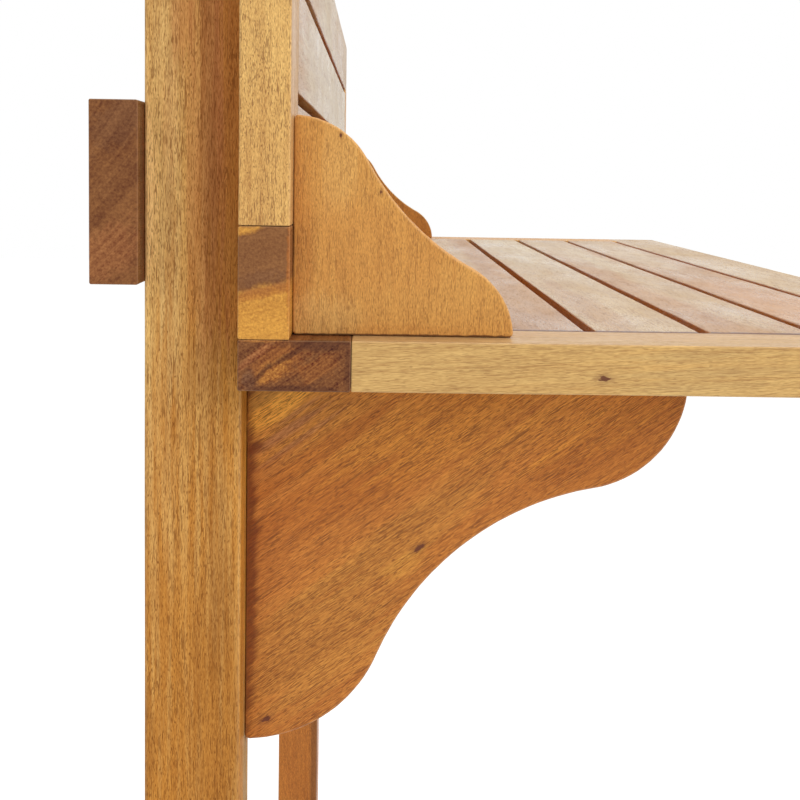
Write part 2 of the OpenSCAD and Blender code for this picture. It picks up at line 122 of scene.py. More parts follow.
class TimberTones(bpy.types.PropertyGroup):
    """Colours of the timber, as scene-linear values."""

    # Straw also paints light on the lower back corner of the left guard.
    straw: tone("Straw", "Pale sapwood", (0.73, 0.435, 0.140))
    honey: tone("Honey", "Golden sapwood", (0.635, 0.340, 0.100))
    # Buff also paints light on the left leg beside the batten.
    buff: tone("Buff", "Brightest sapwood", (0.96, 0.60, 0.23))
    # Wheat also paints sheen on the front face of the left stile.
    wheat: tone("Wheat", "Upper side of the end rails", (0.60, 0.375, 0.165))
    # Blaze is brighter than the timber is: painted light over the bracket, against the shade under
    # the top.
    blaze: tone("Blaze", "Bright streak of the bracket", (1.00, 0.460, 0.062))
    # Gold also paints light: on the front face of the left leg and over the bracket's streak.
    gold: tone("Gold", "Warm golden sapwood", (0.665, 0.310, 0.050))
    guard: tone("Guard", "Even honey of the guards", (0.65, 0.318, 0.075))
    tan: tone("Tan", "Golden brown heartwood", (0.53, 0.215, 0.038))
    amber: tone("Amber", "Orange brown heartwood", (0.52, 0.180, 0.030))
    russet: tone("Russet", "Reddish orange heartwood", (0.46, 0.140, 0.018))
    rust: tone("Rust", "Reddish brown heartwood", (0.48, 0.187, 0.062))
    walnut: tone("Walnut", "Dark brown heartwood", (0.24, 0.090, 0.025))
    umber: tone("Umber", "Greyish brown heartwood", (0.26, 0.105, 0.032))
    ash: tone("Ash", "Grey brown stain", (0.19, 0.080, 0.035))
    # Mahogany also paints the shade on the bracket beside the leg.
    mahogany: tone("Mahogany", "Dark red stain", (0.19, 0.040, 0.005))
    # Dusk also paints shade: on the batten's front face beside the leg, and in the joints at the
    # slats' ends and the guard's foot.
    dusk: tone("Dusk", "Darkest heartwood", (0.125, 0.040, 0.014))
    rose: tone("Rose", "Pinkish heartwood of the slats", (0.43, 0.205, 0.045))
    # Cream also paints sheen: on the front strip of the left leg and on the far part of the second
    # slat.
    cream: tone("Cream", "Pale wood of the slats", (0.50, 0.320, 0.125))
    pale: tone("Pale", "Bleached streak of a slat", (0.50, 0.360, 0.210))
    # Chalk is painted sheen: the whitish gloss of grazing light on the backboard, the far ends of
    # the slats and the far guard.
    chalk: tone("Chalk", "Palest wood of the backboard", (0.59, 0.475, 0.295))
    pore: tone("Pores", "Inside of an open pore", (0.17, 0.052, 0.012))
    beech: tone("Beech", "Timber of the dowels", (0.62, 0.42, 0.23))


class StageSettings(bpy.types.PropertyGroup):
    """Camera and light."""

    camera_x: length("Camera X", "Place of the camera along the top", -0.98875, -10.0)
    camera_y: length("Camera Y", "Place of the camera across the top", 0.08959, -10.0)
    camera_z: length("Camera Z", "Height of the camera", 1.09442)
    yaw: heading("Yaw", "Turn of the camera away from the line of the top", -0.0176)
    pitch: heading("Pitch", "Tilt of the camera towards the floor", 0.0821)
    roll: heading("Roll", "Turn of the camera about its own axis", 0.0156)
    focal_length: FloatProperty(name="Focal length", description="Focal length in millimetres",
                                default=60.332, min=1.0, subtype="DISTANCE_CAMERA")
    frame_shift: share("Frame shift", "Vertical shift of the frame", -0.14683, -1.0)
    dome_level: share("Dome level", "Strength of the even light from all round", 0.80)
    near_gloss: share("Near gloss", "Brightness in gloss on the camera's side", 0.2)
    key_level: share("Key level", "Power of the large soft lamp, in watts", 26.0)
    fill_level: share("Fill level", "Power of the overhead lamp, in watts", 16.0)
    floor_size: length("Floor size", "Length of the floor's sides", 30.0)


class TableSettings(bpy.types.PropertyGroup):
    """Everything that a user would change."""

    sizes: PointerProperty(type=TimberSizes)
    tones: PointerProperty(type=TimberTones)
    stage: PointerProperty(type=StageSettings)


# Surfaces


def turned_outwards(points, faces):
    """Faces turned so that the enclosed volume is positive.

    Six times the volume is the sum, over every face as a fan of triangles, of the triple product
    of its corners.
    """
    volume = 0.0
    for count in {len(face) for face in faces}:
        group = points[np.array([face for face in faces if len(face) == count])]
        fans = np.cross(group[:, 1:-1], group[:, 2:])
        volume += np.einsum("ik,ijk->", group[:, 0], fans)
    return faces if volume > 0 else [face[::-1] for face in faces]


def closed_mesh(name, points, faces):
    """A mesh whose faces look outwards."""
    mesh = bpy.data.meshes.new(name)
    mesh.from_pydata(points.tolist(), [], turned_outwards(points, faces))
    return mesh


def add_object(name, data):
    """A new object in the scene."""
    made = bpy.data.objects.new(name, data)
    bpy.context.scene.collection.objects.link(made)
    return made


def tube_faces(rings, sides, first=0):
    """Quads between neighbouring rings of a grid whose rings are closed."""
    ring = np.arange(rings - 1)[:, None] * sides + first
    here = np.arange(sides)[None]
    ahead = (here + 1) % sides
    corners = (ring + here, ring + ahead, ring + sides + ahead, ring + sides + here)
    return np.stack(corners, axis=2).reshape(-1, 4).tolist()


def closed_piece(name, grid, edge, poles=None):
    """A closed mesh object from a grid of rings.

    The rings are joined by quads. Its two ends are filled with one face each, or, where poles are
    given, with a fan of triangles round a pole. edge tells, from 0 to 1, how far each point lies
    on a rounded edge, and the finish reads it as an attribute.
    """
    rings, sides = grid.shape[:2]
    points = grid.reshape(-1, 3)
    faces = tube_faces(rings, sides)
    near = np.arange(sides)
    far = near + (rings - 1) * sides
    if poles is None:
        faces += [near[::-1].tolist(), far.tolist()]
    else:
        points = np.vstack([points, poles])
        low = np.full(sides, len(points) - 2)
        faces += np.stack([np.roll(near, -1), near, low], axis=1).tolist()
        faces += np.stack([far, np.roll(far, -1), low + 1], axis=1).tolist()
    mesh = closed_mesh(name, points, faces)
    mesh.polygons.foreach_set("use_smooth", np.ones(len(mesh.polygons), bool))
    mesh.validate()
    worn = np.zeros(len(points))
    worn[:edge.size] = edge.ravel()
    mesh.attributes.new("edge", "FLOAT", "POINT").data.foreach_set("value", worn)
    return add_object(name, mesh)


def slow_waves(along, around, seed):
    """Smooth values from 0 to 1 over a board: half a sum of two sines with unlike periods."""
    first = np.sin(along * 23.0 + around * 2.0 + seed * 1.7)
    second = np.sin(along * 51.0 - around * 3.0 + seed * 2.9)
    return 0.5 + 0.25 * (first + second)


def rounded_section(half, radius, inset, steps=6, support=0.0005):
    """Rings of a rounded rectangle, one for each inset.

    A corner is a quarter circle about its own centre, with one more point a little way along the
    straight side before and after it. An inset makes the radius smaller and keeps the centre.
    Returns the points, their angle round the section, and how far each lies on a corner, which
    is the sine of twice its turn.
    """
    turn = np.linspace(0.0, QUARTER_TURN, steps + 1)
    turn = np.concatenate([[0.0], turn, [QUARTER_TURN]])
    slide = np.zeros(steps + 3)
    slide[[0, -1]] = -support, support
    angle = (turn[None] + QUARTER_TURN * np.arange(4)[:, None]).ravel()
    normal = np.stack([np.cos(angle), np.sin(angle)], axis=1)
    tangent = np.stack([-normal[:, 1], normal[:, 0]], axis=1)
    signs = np.repeat(np.array([[1, 1], [-1, 1], [-1, -1], [1, -1]]), steps + 3, axis=0)
    centre = signs * (np.asarray(half) - radius)
    base = centre + tangent * np.tile(slide, 4)[:, None]
    reach = radius - np.asarray(inset)
    return base[None] + reach[..., None] * normal[None], angle, np.abs(np.sin(2 * angle))


def board(name, box, axis, radius, sizes, seed):
    """A board as a rounded section carried along its axis.

    Near each end the section draws in along a quarter circle, which eases the end's edges, and one
    last ring a little further in keeps the end flat. Over the rest of the length a slow wave draws
    the surface in by less than the wear.
    """
    low, high = (np.array(corner) for corner in box)
    centre, half = (low + high) / 2, (high - low) / 2
    across, up = (axis + 1) % 3, (axis + 2) % 3
    ease = sizes.end_easing
    flat, clear = ease * 1.6, ease * 4
    turn = np.linspace(0.0, QUARTER_TURN, 5)
    near = np.concatenate([[0.0], ease * (1 - np.cos(turn)), [flat]])
    drawn = np.concatenate([[flat], ease * (1 - np.sin(turn)), [0.0]])
    eased = np.concatenate([[0.0], np.sin(2 * turn), [0.0]])
    count = max(2, int(2 * half[axis] / sizes.ring_step))
    middle = np.linspace(clear, 2 * half[axis] - clear, count)
    place = np.concatenate([near, middle, 2 * half[axis] - near[::-1]]) - half[axis]
    inset = np.concatenate([drawn, np.zeros(count), drawn[::-1]])
    eased = np.concatenate([eased, np.zeros(count), eased[::-1]])
    section = (half[across], half[up])
    _, angle, corner = rounded_section(section, radius, np.zeros((1, 1)))
    worn = sizes.wear * slow_waves(place[:, None], angle[None], seed)
    ring, _, _ = rounded_section(section, radius, inset[:, None] + worn)
    grid = np.empty((len(place), len(angle), 3))
    grid[..., axis] = place[:, None]
    grid[..., across], grid[..., up] = ring[..., 0], ring[..., 1]
    on_corner = corner[None] * (inset[:, None] < ease)
    return closed_piece(name, grid + centre, np.maximum(on_corner, eased[:, None]))


def arc(centre, radius, start, stop, count):
    """Points on a circle from one angle to another."""
    angle = np.linspace(start, stop, count)
    return np.asarray(centre) + radius * np.stack([np.cos(angle), np.sin(angle)], axis=1)


def quarter(centre, radius, first, count=6):
    """A quarter circle that starts after a number of quarter turns."""
    return arc(centre, radius, first * QUARTER_TURN, (first + 1) * QUARTER_TURN, count)


def angle_of(vector):
    """Angle of a vector in the plane."""
    return math.atan2(vector[1], vector[0])


def ogee_outline(reach, drop, nose_r, toe_r, hollow_r, corner, straight=16, end=20, curve=32):
    """Outline of a bracket, anticlockwise from the corner where its two straight sides meet.

    The nose and the toe are circles centred on the straight sides. The hollow is a circle that
    touches both from outside: its centre lies at the sum of the radii from each of their centres.
    The three square corners are quarter circles. The last three numbers count points: on a
    straight side, on the nose or the toe, and on the hollow.
    """
    nose = np.array([reach - nose_r, 0.0])
    toe = np.array([0.0, drop - toe_r])
    span = np.linalg.norm(toe - nose)
    unit = (toe - nose) / span
    to_nose, to_toe = hollow_r + nose_r, hollow_r + toe_r
    along = (span**2 + to_nose**2 - to_toe**2) / (2 * span)
    out = math.sqrt(to_nose**2 - along**2)
    hollow = nose + along * unit + out * np.array([unit[1], -unit[0]])
    leaves_nose, meets_toe = angle_of(hollow - nose), angle_of(hollow - toe)
    starts, stops = angle_of(nose - hollow), angle_of(toe - hollow)
    return np.vstack([
        np.linspace([corner, 0.0], [reach - corner, 0.0], straight)[:-1],
        quarter((reach - corner, corner), corner, -1)[:-1],
        arc(nose, nose_r, math.asin(corner / nose_r), leaves_nose, end)[:-1],
        arc(hollow, hollow_r, starts, stops, curve)[:-1],
        arc(toe, toe_r, meets_toe, math.acos(corner / toe_r), end)[:-1],
        quarter((corner, drop - corner), corner, 1)[:-1],
        np.linspace([0.0, drop - corner], [0.0, corner], straight)[:-1],
        quarter((corner, corner), corner, 2)[:-1],
    ])


def runner_outline(span, height, radius, corner, lower=20, upper=18, curve=16):
    """Outline of a runner, anticlockwise: a rectangle with its two upper corners rounded.

    The last three numbers count points: on the lower side, the upper side and an upper corner.
    """
    return np.vstack([
        np.linspace([corner, 0.0], [span - corner, 0.0], lower)[:-1],
        quarter((span - corner, corner), corner, -1),
        quarter((span - radius, height - radius), radius, 0, curve)[:-1],
        np.linspace([span - radius, height], [radius, height], upper)[:-1],
        quarter((radius, height - radius), radius, 1, curve),
        quarter((corner, corner), corner, 2)[:-1],
    ])


# The rings on a plate's face as shares of its outline, and the point that they shrink to, as a
# share of the outline's box
FACE_RINGS = np.array([0.35, 0.7, 0.93, 0.985])
FACE_MIDDLE = 0.22


def plate(name, outline, thickness, rim, place, wear, seed):
    """A plate whose rim is rounded on both faces.

    Each ring is the outline moved inwards along its normals: over a rim the inset and the height
    follow a quarter circle, and on a face the ring shrinks towards a point inside. place turns the
    outline's two coordinates and the height into a point of the frame.
    """

    def on_both(face, rounding, sign=1.0):
        """Values over one face and its rim, and back over the other rim and face."""
        half = np.concatenate([np.zeros(len(FACE_RINGS)) + face, rounding])
        return np.concatenate([half, sign * half[::-1]])

    tangent = np.roll(outline, -1, axis=0) - np.roll(outline, 1, axis=0)
    tangent /= np.linalg.norm(tangent, axis=1)[:, None]
    normal = np.stack([tangent[:, 1], -tangent[:, 0]], axis=1)
    inside = outline.min(axis=0) + FACE_MIDDLE * np.ptp(outline, axis=0)
    turn = np.linspace(0.0, QUARTER_TURN, 7)
    top = thickness / 2
    scale = on_both(FACE_RINGS, np.ones(len(turn)))
    inset = on_both(rim, rim * (1 - np.sin(turn)))
    height = on_both(top, top - rim * (1 - np.cos(turn)), sign=-1.0)
    around = np.linspace(0.0, 2 * math.pi, len(outline), endpoint=False)
    worn = wear * slow_waves(around[None], height[:, None] / thickness, seed)
    ring = outline[None] - (inset[:, None] + worn)[..., None] * normal[None]
    ring = inside + scale[:, None, None] * (ring - inside)
    grid = place(ring[..., 0], ring[..., 1], np.broadcast_to(height[:, None], ring.shape[:2]))
    poles = place(np.full(2, inside[0]), np.full(2, inside[1]), np.array([top, -top]))
    edge = np.broadcast_to(on_both(0.0, np.sin(2 * turn))[:, None], ring.shape[:2])
    return closed_piece(name, grid, edge, poles)


# Holes


def clusters(values, gap=0.01):
    """Index groups of values that lie within a gap of their neighbours."""
    order = np.argsort(values)
    breaks = np.flatnonzero(np.diff(values[order]) > gap) + 1
    return np.split(order, breaks)


def fastener_ends(node, axis, side, tolerance=1e-5):
    """Middle and radius of each round end that a node shows in its outermost plane."""
    mesh = frame["nodes"][node].data
    points = np.empty(len(mesh.vertices) * 3)
    mesh.vertices.foreach_get("co", points)
    points = points.reshape(-1, 3)
    plane = side * (side * points[:, axis]).max()
    points = points[np.abs(points[:, axis] - plane) < tolerance]
    across, up = (axis + 1) % 3, (axis + 2) % 3
    ends = []
    for row in clusters(points[:, up]):
        for group in clusters(points[row, across]):
            spot = points[row[group]]
            low, high = spot.min(axis=0), spot.max(axis=0)
            ends.append(((low + high) / 2, (high[across] - low[across]) / 2))
    return ends


def turned_cutter(spots, axis, side, profile, sides=48):
    """One mesh of closed surfaces of revolution, one at each spot.

    The profile is pairs of radius and depth, from the mouth outside the timber to the bottom of
    the hole. Each pair becomes a ring about the spot's own axis.
    """
    across, up = (axis + 1) % 3, (axis + 2) % 3
    angle = np.linspace(0.0, 2 * math.pi, sides, endpoint=False)
    radius, depth = np.array(profile).T
    shape = np.zeros((len(profile), sides, 3))
    shape[..., across] = radius[:, None] * np.cos(angle)
    shape[..., up] = radius[:, None] * np.sin(angle)
    shape[..., axis] = -side * depth[:, None]
    points = np.concatenate([(shape + spot).reshape(-1, 3) for spot in spots])
    faces = []
    for first in range(0, len(points), len(profile) * sides):
        near = np.arange(sides) + first
        far = near + (len(profile) - 1) * sides
        faces += tube_faces(len(profile), sides, first) + [near[::-1].tolist(), far.tolist()]
    return add_object("cutter", closed_mesh("cutter", points, faces))


def drill(piece, cutter, sharp=math.radians(40)):
    """Cuts the holes out of a piece and keeps the cut mesh."""
    cut = piece.modifiers.new("holes", "BOOLEAN")
    cut.operation = "DIFFERENCE"
    cut.solver = "EXACT"
    cut.object = cutter
    bpy.context.view_layer.update()
    dressed = piece.evaluated_get(bpy.context.evaluated_depsgraph_get())
    mesh = bpy.data.meshes.new_from_object(dressed)
    if len(mesh.polygons) <= len(piece.data.polygons):
        raise RuntimeError(f"no hole was cut in {piece.name}")
    piece.modifiers.clear()
    piece.data = mesh
    bpy.data.objects.remove(cutter)
    mesh.set_sharp_from_angle(angle=sharp)


def straight_hole(depth, sizes):
    """Function from a fastener's radius to the profile of a flat hole with an eased mouth."""

    def profile(radius):
        wall = radius + sizes.hole_clearance
        mouth = wall + sizes.hole_easing
        return [(mouth, -PROUD), (mouth, 0.0), (wall, sizes.hole_easing), (wall, depth)]

    return profile


def sunk_hole(sizes):
    """Function from a screw head's radius to the profile of a countersink at 45 degrees."""

    def profile(radius):
        shank = radius * 0.5
        return [(radius + PROUD, -PROUD), (radius, 0.0), (shank, shank + sizes.hole_easing)]

    return profile


def ends_in(node, ends, margin=0.005):
    """The ends that lie within a node's box, seen from any side."""
    low, high = (np.array(corner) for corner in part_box(node))
    return [end for end in ends if ((end[0] > low - margin) & (end[0] < high + margin)).all()]


def bore(piece, node, holes):
    """Drills the holes that fall in one node.

    A hole is a list of fastener ends, their axis and side, and a function from radius to profile.
    """
    for ends, axis, side, profile in holes:
        own = ends_in(node, ends)
        if own:
            low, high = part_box(node)
            spots = np.array([middle for middle, _ in own])
            spots[:, axis] = (high if side > 0 else low)[axis]
            drill(piece, turned_cutter(spots, axis, side, profile(own[0][1])))


# Finishes

SOCKET_KINDS = {1: "NodeSocketFloat", 3: "NodeSocketVector", 4: "NodeSocketColor"}
ORIGIN, EVEN = (0.0, 0.0, 0.0), (1.0, 1.0, 1.0)
WHITE, SAPWOOD, BARK = (1.0, 1.0, 1.0, 1.0), (0.6, 0.35, 0.1, 1.0), (0.12, 0.03, 0.015, 1.0)
# What the deepest growth ring takes of a timber's colour, and the tone of a rounded edge: wear, and
# a painted highlight where the rounding catches the light
RING_TINT, RUBBED_AND_LIT = (0.32, 0.10, 0.0, 1.0), (0.8, 0.55, 0.3, 1.0)
# Scales of the timber's noises, across the grain and along it
DRIFT, FRAYING, MOTTLE, VEIL = (18.0, 7.0), (330.0, 14.0), (80.0, 20.0), (30.0, 9.0)
BROAD_FIBRES, FINE_FIBRES, SPECKS = (800.0, 14.0), (2900.0, 380.0), (950.0, 950.0)
CROWDING, SHORT_PORES, LONG_PORES = (190.0, 35.0), (2900.0, 480.0), (2500.0, 130.0)
RAGGED_KNOT = (700.0, 350.0)
# Cosines at which a face begins to count as turned to one side, and at which it does so fully
TURNED = (0.5, 0.9)


class Net:
    """Adds shader nodes to one tree and joins them. A step returns the value that it puts out."""

    def __init__(self, tree):
        self.tree = tree

    def add(self, kind, inputs=None, **settings):
        """Outputs of a new node, with settings, and with each named input set or joined."""
        made = self.tree.nodes.new(kind)
        for name, value in settings.items():
            setattr(made, name, value)
        for name, value in (inputs or {}).items():
            self.join(value, made.inputs[name])
        return made.outputs

    def join(self, value, socket):
        """Links a socket to a socket, or writes a plain value into it."""
        if isinstance(value, bpy.types.NodeSocket):
            self.tree.links.new(value, socket)
        else:
            socket.default_value = value

    def maths(self, operation, *values):
        """One arithmetic step."""
        return self.add("ShaderNodeMath", dict(enumerate(values)), operation=operation)[0]

    def times(self, first, second):
        """Two values multiplied."""
        return self.maths("MULTIPLY", first, second)

    def plus(self, value, more, factor=1.0):
        """A value and a number of times another."""
        return self.maths("MULTIPLY_ADD", more, factor, value)

    def vector(self, operation, *values):
        """One vector step."""
        made = self.add("ShaderNodeVectorMath", dict(enumerate(values)), operation=operation)
        return made["Value" if operation in ("LENGTH", "DOT_PRODUCT") else "Vector"]

    def scaled(self, vector, factor):
        """A vector or colour times a number."""
        return self.add("ShaderNodeVectorMath", {0: vector, "Scale": factor}, operation="SCALE")[0]

    def part(self, vector, axis):
        """One component of a vector."""
        return self.add("ShaderNodeSeparateXYZ", {0: vector})[axis]

    def noise(self, place, detail=2.0, roughness=0.5, read="Fac"):
        """A noise read at a place that already carries its scale."""
        inputs = {"Vector": place, "Scale": 1.0, "Detail": detail, "Roughness": roughness}
        return self.add("ShaderNodeTexNoise", inputs)[read]

    def drawn_out(self, place, scale, **settings):
        """A noise with one scale across the grain and another along it."""
        across, along = scale
        return self.noise(self.vector("MULTIPLY", place, (across, across, along)), **settings)

    def remap(self, value, low, high, to_low=0.0, to_high=1.0, kind="SMOOTHSTEP"):
        """A value carried from one range into another, with soft ends."""
        inputs = {"Value": value, "From Min": low, "From Max": high}
        inputs.update({"To Min": to_low, "To Max": to_high})
        return self.add("ShaderNodeMapRange", inputs, interpolation_type=kind)[0]

    def centred(self, value, reach=0.2):
        """A noise's middle range as values from -1 to 1."""
        return self.remap(value, 0.5 - reach, 0.5 + reach, -1.0, 1.0, "LINEAR")

    def mix(self, factor, first, second, **settings):
        """Two colours mixed. The node numbers its colour sockets 6 and 7, and 2 on its way out."""
        inputs = {0: factor, 6: first, 7: second}
        return self.add("ShaderNodeMix", inputs, data_type="RGBA", **settings)[2]

    def group(self, build, inputs):
        """Outputs of a shared node group, with its inputs set or joined."""
        return self.add("ShaderNodeGroup", inputs, node_tree=shared_group(build))


def new_group(name, inputs, outputs):
    """A shader node group: its net, its inputs and the sockets that it fills.

    Inputs are given with their defaults, and outputs with their number of components.
    """
    tree = bpy.data.node_groups.new(name, "ShaderNodeTree")
    for label, default in inputs.items():
        kind = SOCKET_KINDS[np.size(default)]
        tree.interface.new_socket(label, in_out="INPUT", socket_type=kind).default_value = default
    for label, size in outputs.items():
        tree.interface.new_socket(label, in_out="OUTPUT", socket_type=SOCKET_KINDS[size])
    nodes = tree.nodes
    return Net(tree), nodes.new("NodeGroupInput").outputs, nodes.new("NodeGroupOutput").inputs


def shared_group(build):
    """The node group that a function builds, built once and named after the function."""
    name = build.__name__.replace("_", " ").capitalize()
    return bpy.data.node_groups.get(name) or build(name)


def grain_flow(name):
    """The group that bends a timber's grain.

    Place is a point in the board's own axes, with the grain along Z. Put out are the point with a
    slow drift across the grain, its distance from the pith, which lies outside most boards, and a
    fraying that is drawn out along the grain.
    """
    net, given, made = new_group(
        name,
        {"Place": ORIGIN, "Seed": 0.0, "Pith": (0.0, -0.2, 0.0), "Wander": 0.004,
         "Stretch": EVEN},
        {"Flowing": 3, "Distance": 1, "Fraying": 1},
    )
    seed_step, flat = (1.37, 2.53, 3.71), (1.0, 1.0, 0.0)
    seeded = net.vector("ADD", given["Place"], net.scaled(seed_step, given["Seed"]))
    drift = net.drawn_out(seeded, DRIFT, detail=1.5, read="Color")
    drift = net.vector("SUBTRACT", drift, (0.5, 0.5, 0.5))
    drift = net.scaled(net.vector("MULTIPLY", drift, flat), given["Wander"])
    flowing = net.vector("MULTIPLY", net.vector("ADD", seeded, drift), given["Stretch"])
    net.join(flowing, made["Flowing"])
    from_pith = net.vector("ADD", net.vector("SUBTRACT", given["Place"], given["Pith"]), drift)
    net.join(net.vector("LENGTH", net.vector("MULTIPLY", from_pith, flat)), made["Distance"])
    fraying = net.drawn_out(seeded, FRAYING, detail=4.0, roughness=0.6)
    net.join(net.maths("SUBTRACT", fraying, 0.5), made["Fraying"])
    return net.tree


def heartwood(name):
    """The group that lays heartwood over sapwood.

    Heartwood fills the rings nearer to the pith than its radius, above one height on the board,
    and its border frays along the grain.
    """
    net, given, made = new_group(
        name,
        {"Place": ORIGIN, "Distance": 0.0, "Fraying": 0.0, "Sapwood": SAPWOOD, "Heartwood": BARK,
         "Heart radius": 0.0, "Softness": 0.004, "From": -10.0, "Fade": 0.03},
        {"Colour": 4},
    )
    frays_across, frays_along = 0.016, 0.12
    border = net.plus(given["Distance"], given["Fraying"], frays_across)
    border = net.maths("SUBTRACT", given["Heart radius"], border)
    softness = given["Softness"]
    heart = net.remap(border, net.times(softness, -1.0), softness)
    height = net.plus(net.part(given["Place"], Z_AXIS), given["Fraying"], frays_along)
    height = net.maths("SUBTRACT", height, given["From"])
    heart = net.times(heart, net.remap(height, 0.0, given["Fade"]))
    net.join(net.mix(heart, given["Sapwood"], given["Heartwood"]), made["Colour"])
    return net.tree


def stain(name):
    """The group that lays a long soft patch of another tone.

    Place is measured so that the patch is a ball of radius 1. Its rim frays along the grain. Most
    patches are stains in the timber; some are painted light or painted shade.
    """
    net, given, made = new_group(
        name,
        {"Colour": SAPWOOD, "Place": ORIGIN, "Fraying": 0.0, "Tone": BARK, "Strength": 0.5},
        {"Colour": 4},
    )
    rim, core, frays = 1.05, 0.45, 1.4
    away = net.plus(net.vector("LENGTH", given["Place"]), given["Fraying"], frays)
    cover = net.times(net.remap(away, rim, core), given["Strength"])
    net.join(net.mix(cover, given["Colour"], given["Tone"]), made["Colour"])
    return net.tree


def timber_figure(name):
    """The group that works out a timber's colour, roughness and height.

    Growth rings are a noise of the distance from the pith. Fibres and pores are noises drawn out
    along the grain, and the pores crowd together in places. On a sawn end the fibres give way to
    coarse specks, and the timber is duller. On a rounded edge it turns towards a paler tone, which
    is wear and also a painted highlight where the rounding catches the light.
    """
    net, given, made = new_group(
        name,
        {"Ground": SAPWOOD, "Flowing": ORIGIN, "Distance": 0.0, "Facing end": 0.0, "Edge": 0.0,
         "Pore colour": BARK, "Ring spacing": 0.006, "Ring depth": 0.15, "Fibre depth": 0.10,
         "Pore depth": 0.5, "Mottle depth": 0.08, "Base roughness": 0.4},
        {"Colour": 4, "Roughness": 1, "Height": 1},
    )
    flowing, sawn = given["Flowing"], given["Facing end"]
    bend_along, ring_contrast = 4.0, (0.34, 0.68)
    short_peaks, long_peaks, crowded = (0.62, 0.74), (0.60, 0.70), 0.05
    ring_place = net.add("ShaderNodeCombineXYZ", {
        0: net.maths("DIVIDE", given["Distance"], given["Ring spacing"]),
        1: net.times(net.part(flowing, Z_AXIS), bend_along),
    })[0]
    ring = net.remap(net.noise(ring_place, detail=4.0, roughness=0.65), *ring_contrast)

    def streaks(scale, **settings):
        """A noise drawn out along the grain, from -1 to 1."""
        return net.centred(net.drawn_out(flowing, scale, **settings))

    mottle = streaks(MOTTLE, detail=3.0)
    broad = streaks(BROAD_FIBRES, roughness=0.6)
    fine = streaks(FINE_FIBRES, detail=1.0)
    specks = streaks(SPECKS, roughness=0.6)
    fine = net.remap(sawn, 0.0, 1.0, fine, specks, "LINEAR")
    fibre = net.plus(fine, broad, 0.5)

    crowd = net.times(streaks(CROWDING), crowded)
    short = net.plus(net.drawn_out(flowing, SHORT_PORES, detail=0.0), crowd)
    long = net.plus(net.drawn_out(flowing, LONG_PORES, detail=0.5), crowd)
    pores = net.maths("MAXIMUM", net.remap(short, *short_peaks), net.remap(long, *long_peaks))
    pores = net.times(pores, net.plus(1.0, sawn, -0.5))

    lighter = net.plus(net.times(mottle, given["Mottle depth"]), fibre, given["Fibre depth"])
    shade = net.maths("SUBTRACT", net.times(ring, given["Ring depth"]), lighter)
    shading = net.mix(shade, WHITE, RING_TINT, clamp_factor=False)
    colour = net.vector("MULTIPLY", given["Ground"], shading)
    colour = net.mix(net.times(pores, given["Pore depth"]), colour, given["Pore colour"])
    # A rounded edge turns paler: wear, and a painted highlight where the rounding catches the light.
    rubbed_and_lit = net.times(given["Edge"], 0.12)
    net.join(net.mix(rubbed_and_lit, colour, RUBBED_AND_LIT), made["Colour"])

    veil = streaks(VEIL, detail=4.0, roughness=0.6)
    rough = given["Base roughness"]
    for value, factor in ((veil, 0.10), (fibre, 0.03), (pores, 0.15), (sawn, 0.14)):
        rough = net.plus(rough, value, factor)
    net.join(rough, made["Roughness"])
    net.join(net.maths("SUBTRACT", net.times(fibre, 0.25), pores), made["Height"])
    return net.tree


def knot(name):
    """The group that darkens a timber round one knot.

    The distance from the knot is drawn out along the grain. Inside its radius the timber is bark
    brown, and a wider and weaker stain surrounds it.
    """
    net, given, made = new_group(
        name,
        {"Colour": SAPWOOD, "Place": ORIGIN, "Middle": ORIGIN, "Radius": 0.002, "Bark": BARK},
        {"Colour": 4},
    )
    away = net.vector("SUBTRACT", given["Place"], given["Middle"])
    away = net.vector("LENGTH", net.vector("MULTIPLY", away, (1.0, 1.0, 0.5)))
    ragged = net.remap(net.drawn_out(given["Place"], RAGGED_KNOT), 0.3, 0.7, -0.5, 0.5)
    away = net.plus(ragged, net.maths("DIVIDE", away, given["Radius"]))
    halo = net.remap(away, 0.6, 3.0, 0.30, 0.0)
    eye = net.remap(away, 0.5, 1.2, 0.9, 0.0)
    colour = net.mix(halo, given["Colour"], given["Bark"])
    net.join(net.mix(eye, colour, given["Bark"]), made["Colour"])
    return net.tree


def cast_and_wear(name):
    """The group that mottles a plain surface: two noises, one coarse and one fine."""
    net, given, made = new_group(
        name,
        {"Colour": (0.5, 0.5, 0.5, 1.0), "Depth": 0.1, "Roughness": 0.4, "Scale": 400.0},
        {"Colour": 4, "Roughness": 1, "Height": 1},
    )
    fine_scale, cloud_on_gloss = 4000.0, 0.06
    place = net.add("ShaderNodeTexCoord")["Object"]
    cloud = net.centred(net.noise(net.scaled(place, given["Scale"]), detail=3.0))
    light = net.plus(1.0, cloud, given["Depth"])
    net.join(net.scaled(given["Colour"], light), made["Colour"])
    net.join(net.plus(given["Roughness"], cloud, cloud_on_gloss), made["Roughness"])
    net.join(net.noise(net.scaled(place, fine_scale), detail=1.0), made["Height"])
    return net.tree


def new_material(name, constants):
    """A material whose shader holds these constants, with its net and its shader's inputs."""
    material = bpy.data.materials.new(name)
    material.use_nodes = True
    sockets = material.node_tree.nodes["Principled BSDF"].inputs
    for label, value in constants.items():
        sockets[label].default_value = value
    return material, Net(material.node_tree), sockets


def join_surface(net, sockets, colour, surface, strength, depth):
    """Joins a colour, and the roughness and height that a group put out, to a shader."""
    bump = {"Strength": strength, "Distance": depth, "Height": surface["Height"]}
    net.join(colour, sockets["Base Color"])
    net.join(surface["Roughness"], sockets["Roughness"])
    net.join(net.add("ShaderNodeBump", bump)["Normal"], sockets["Normal"])


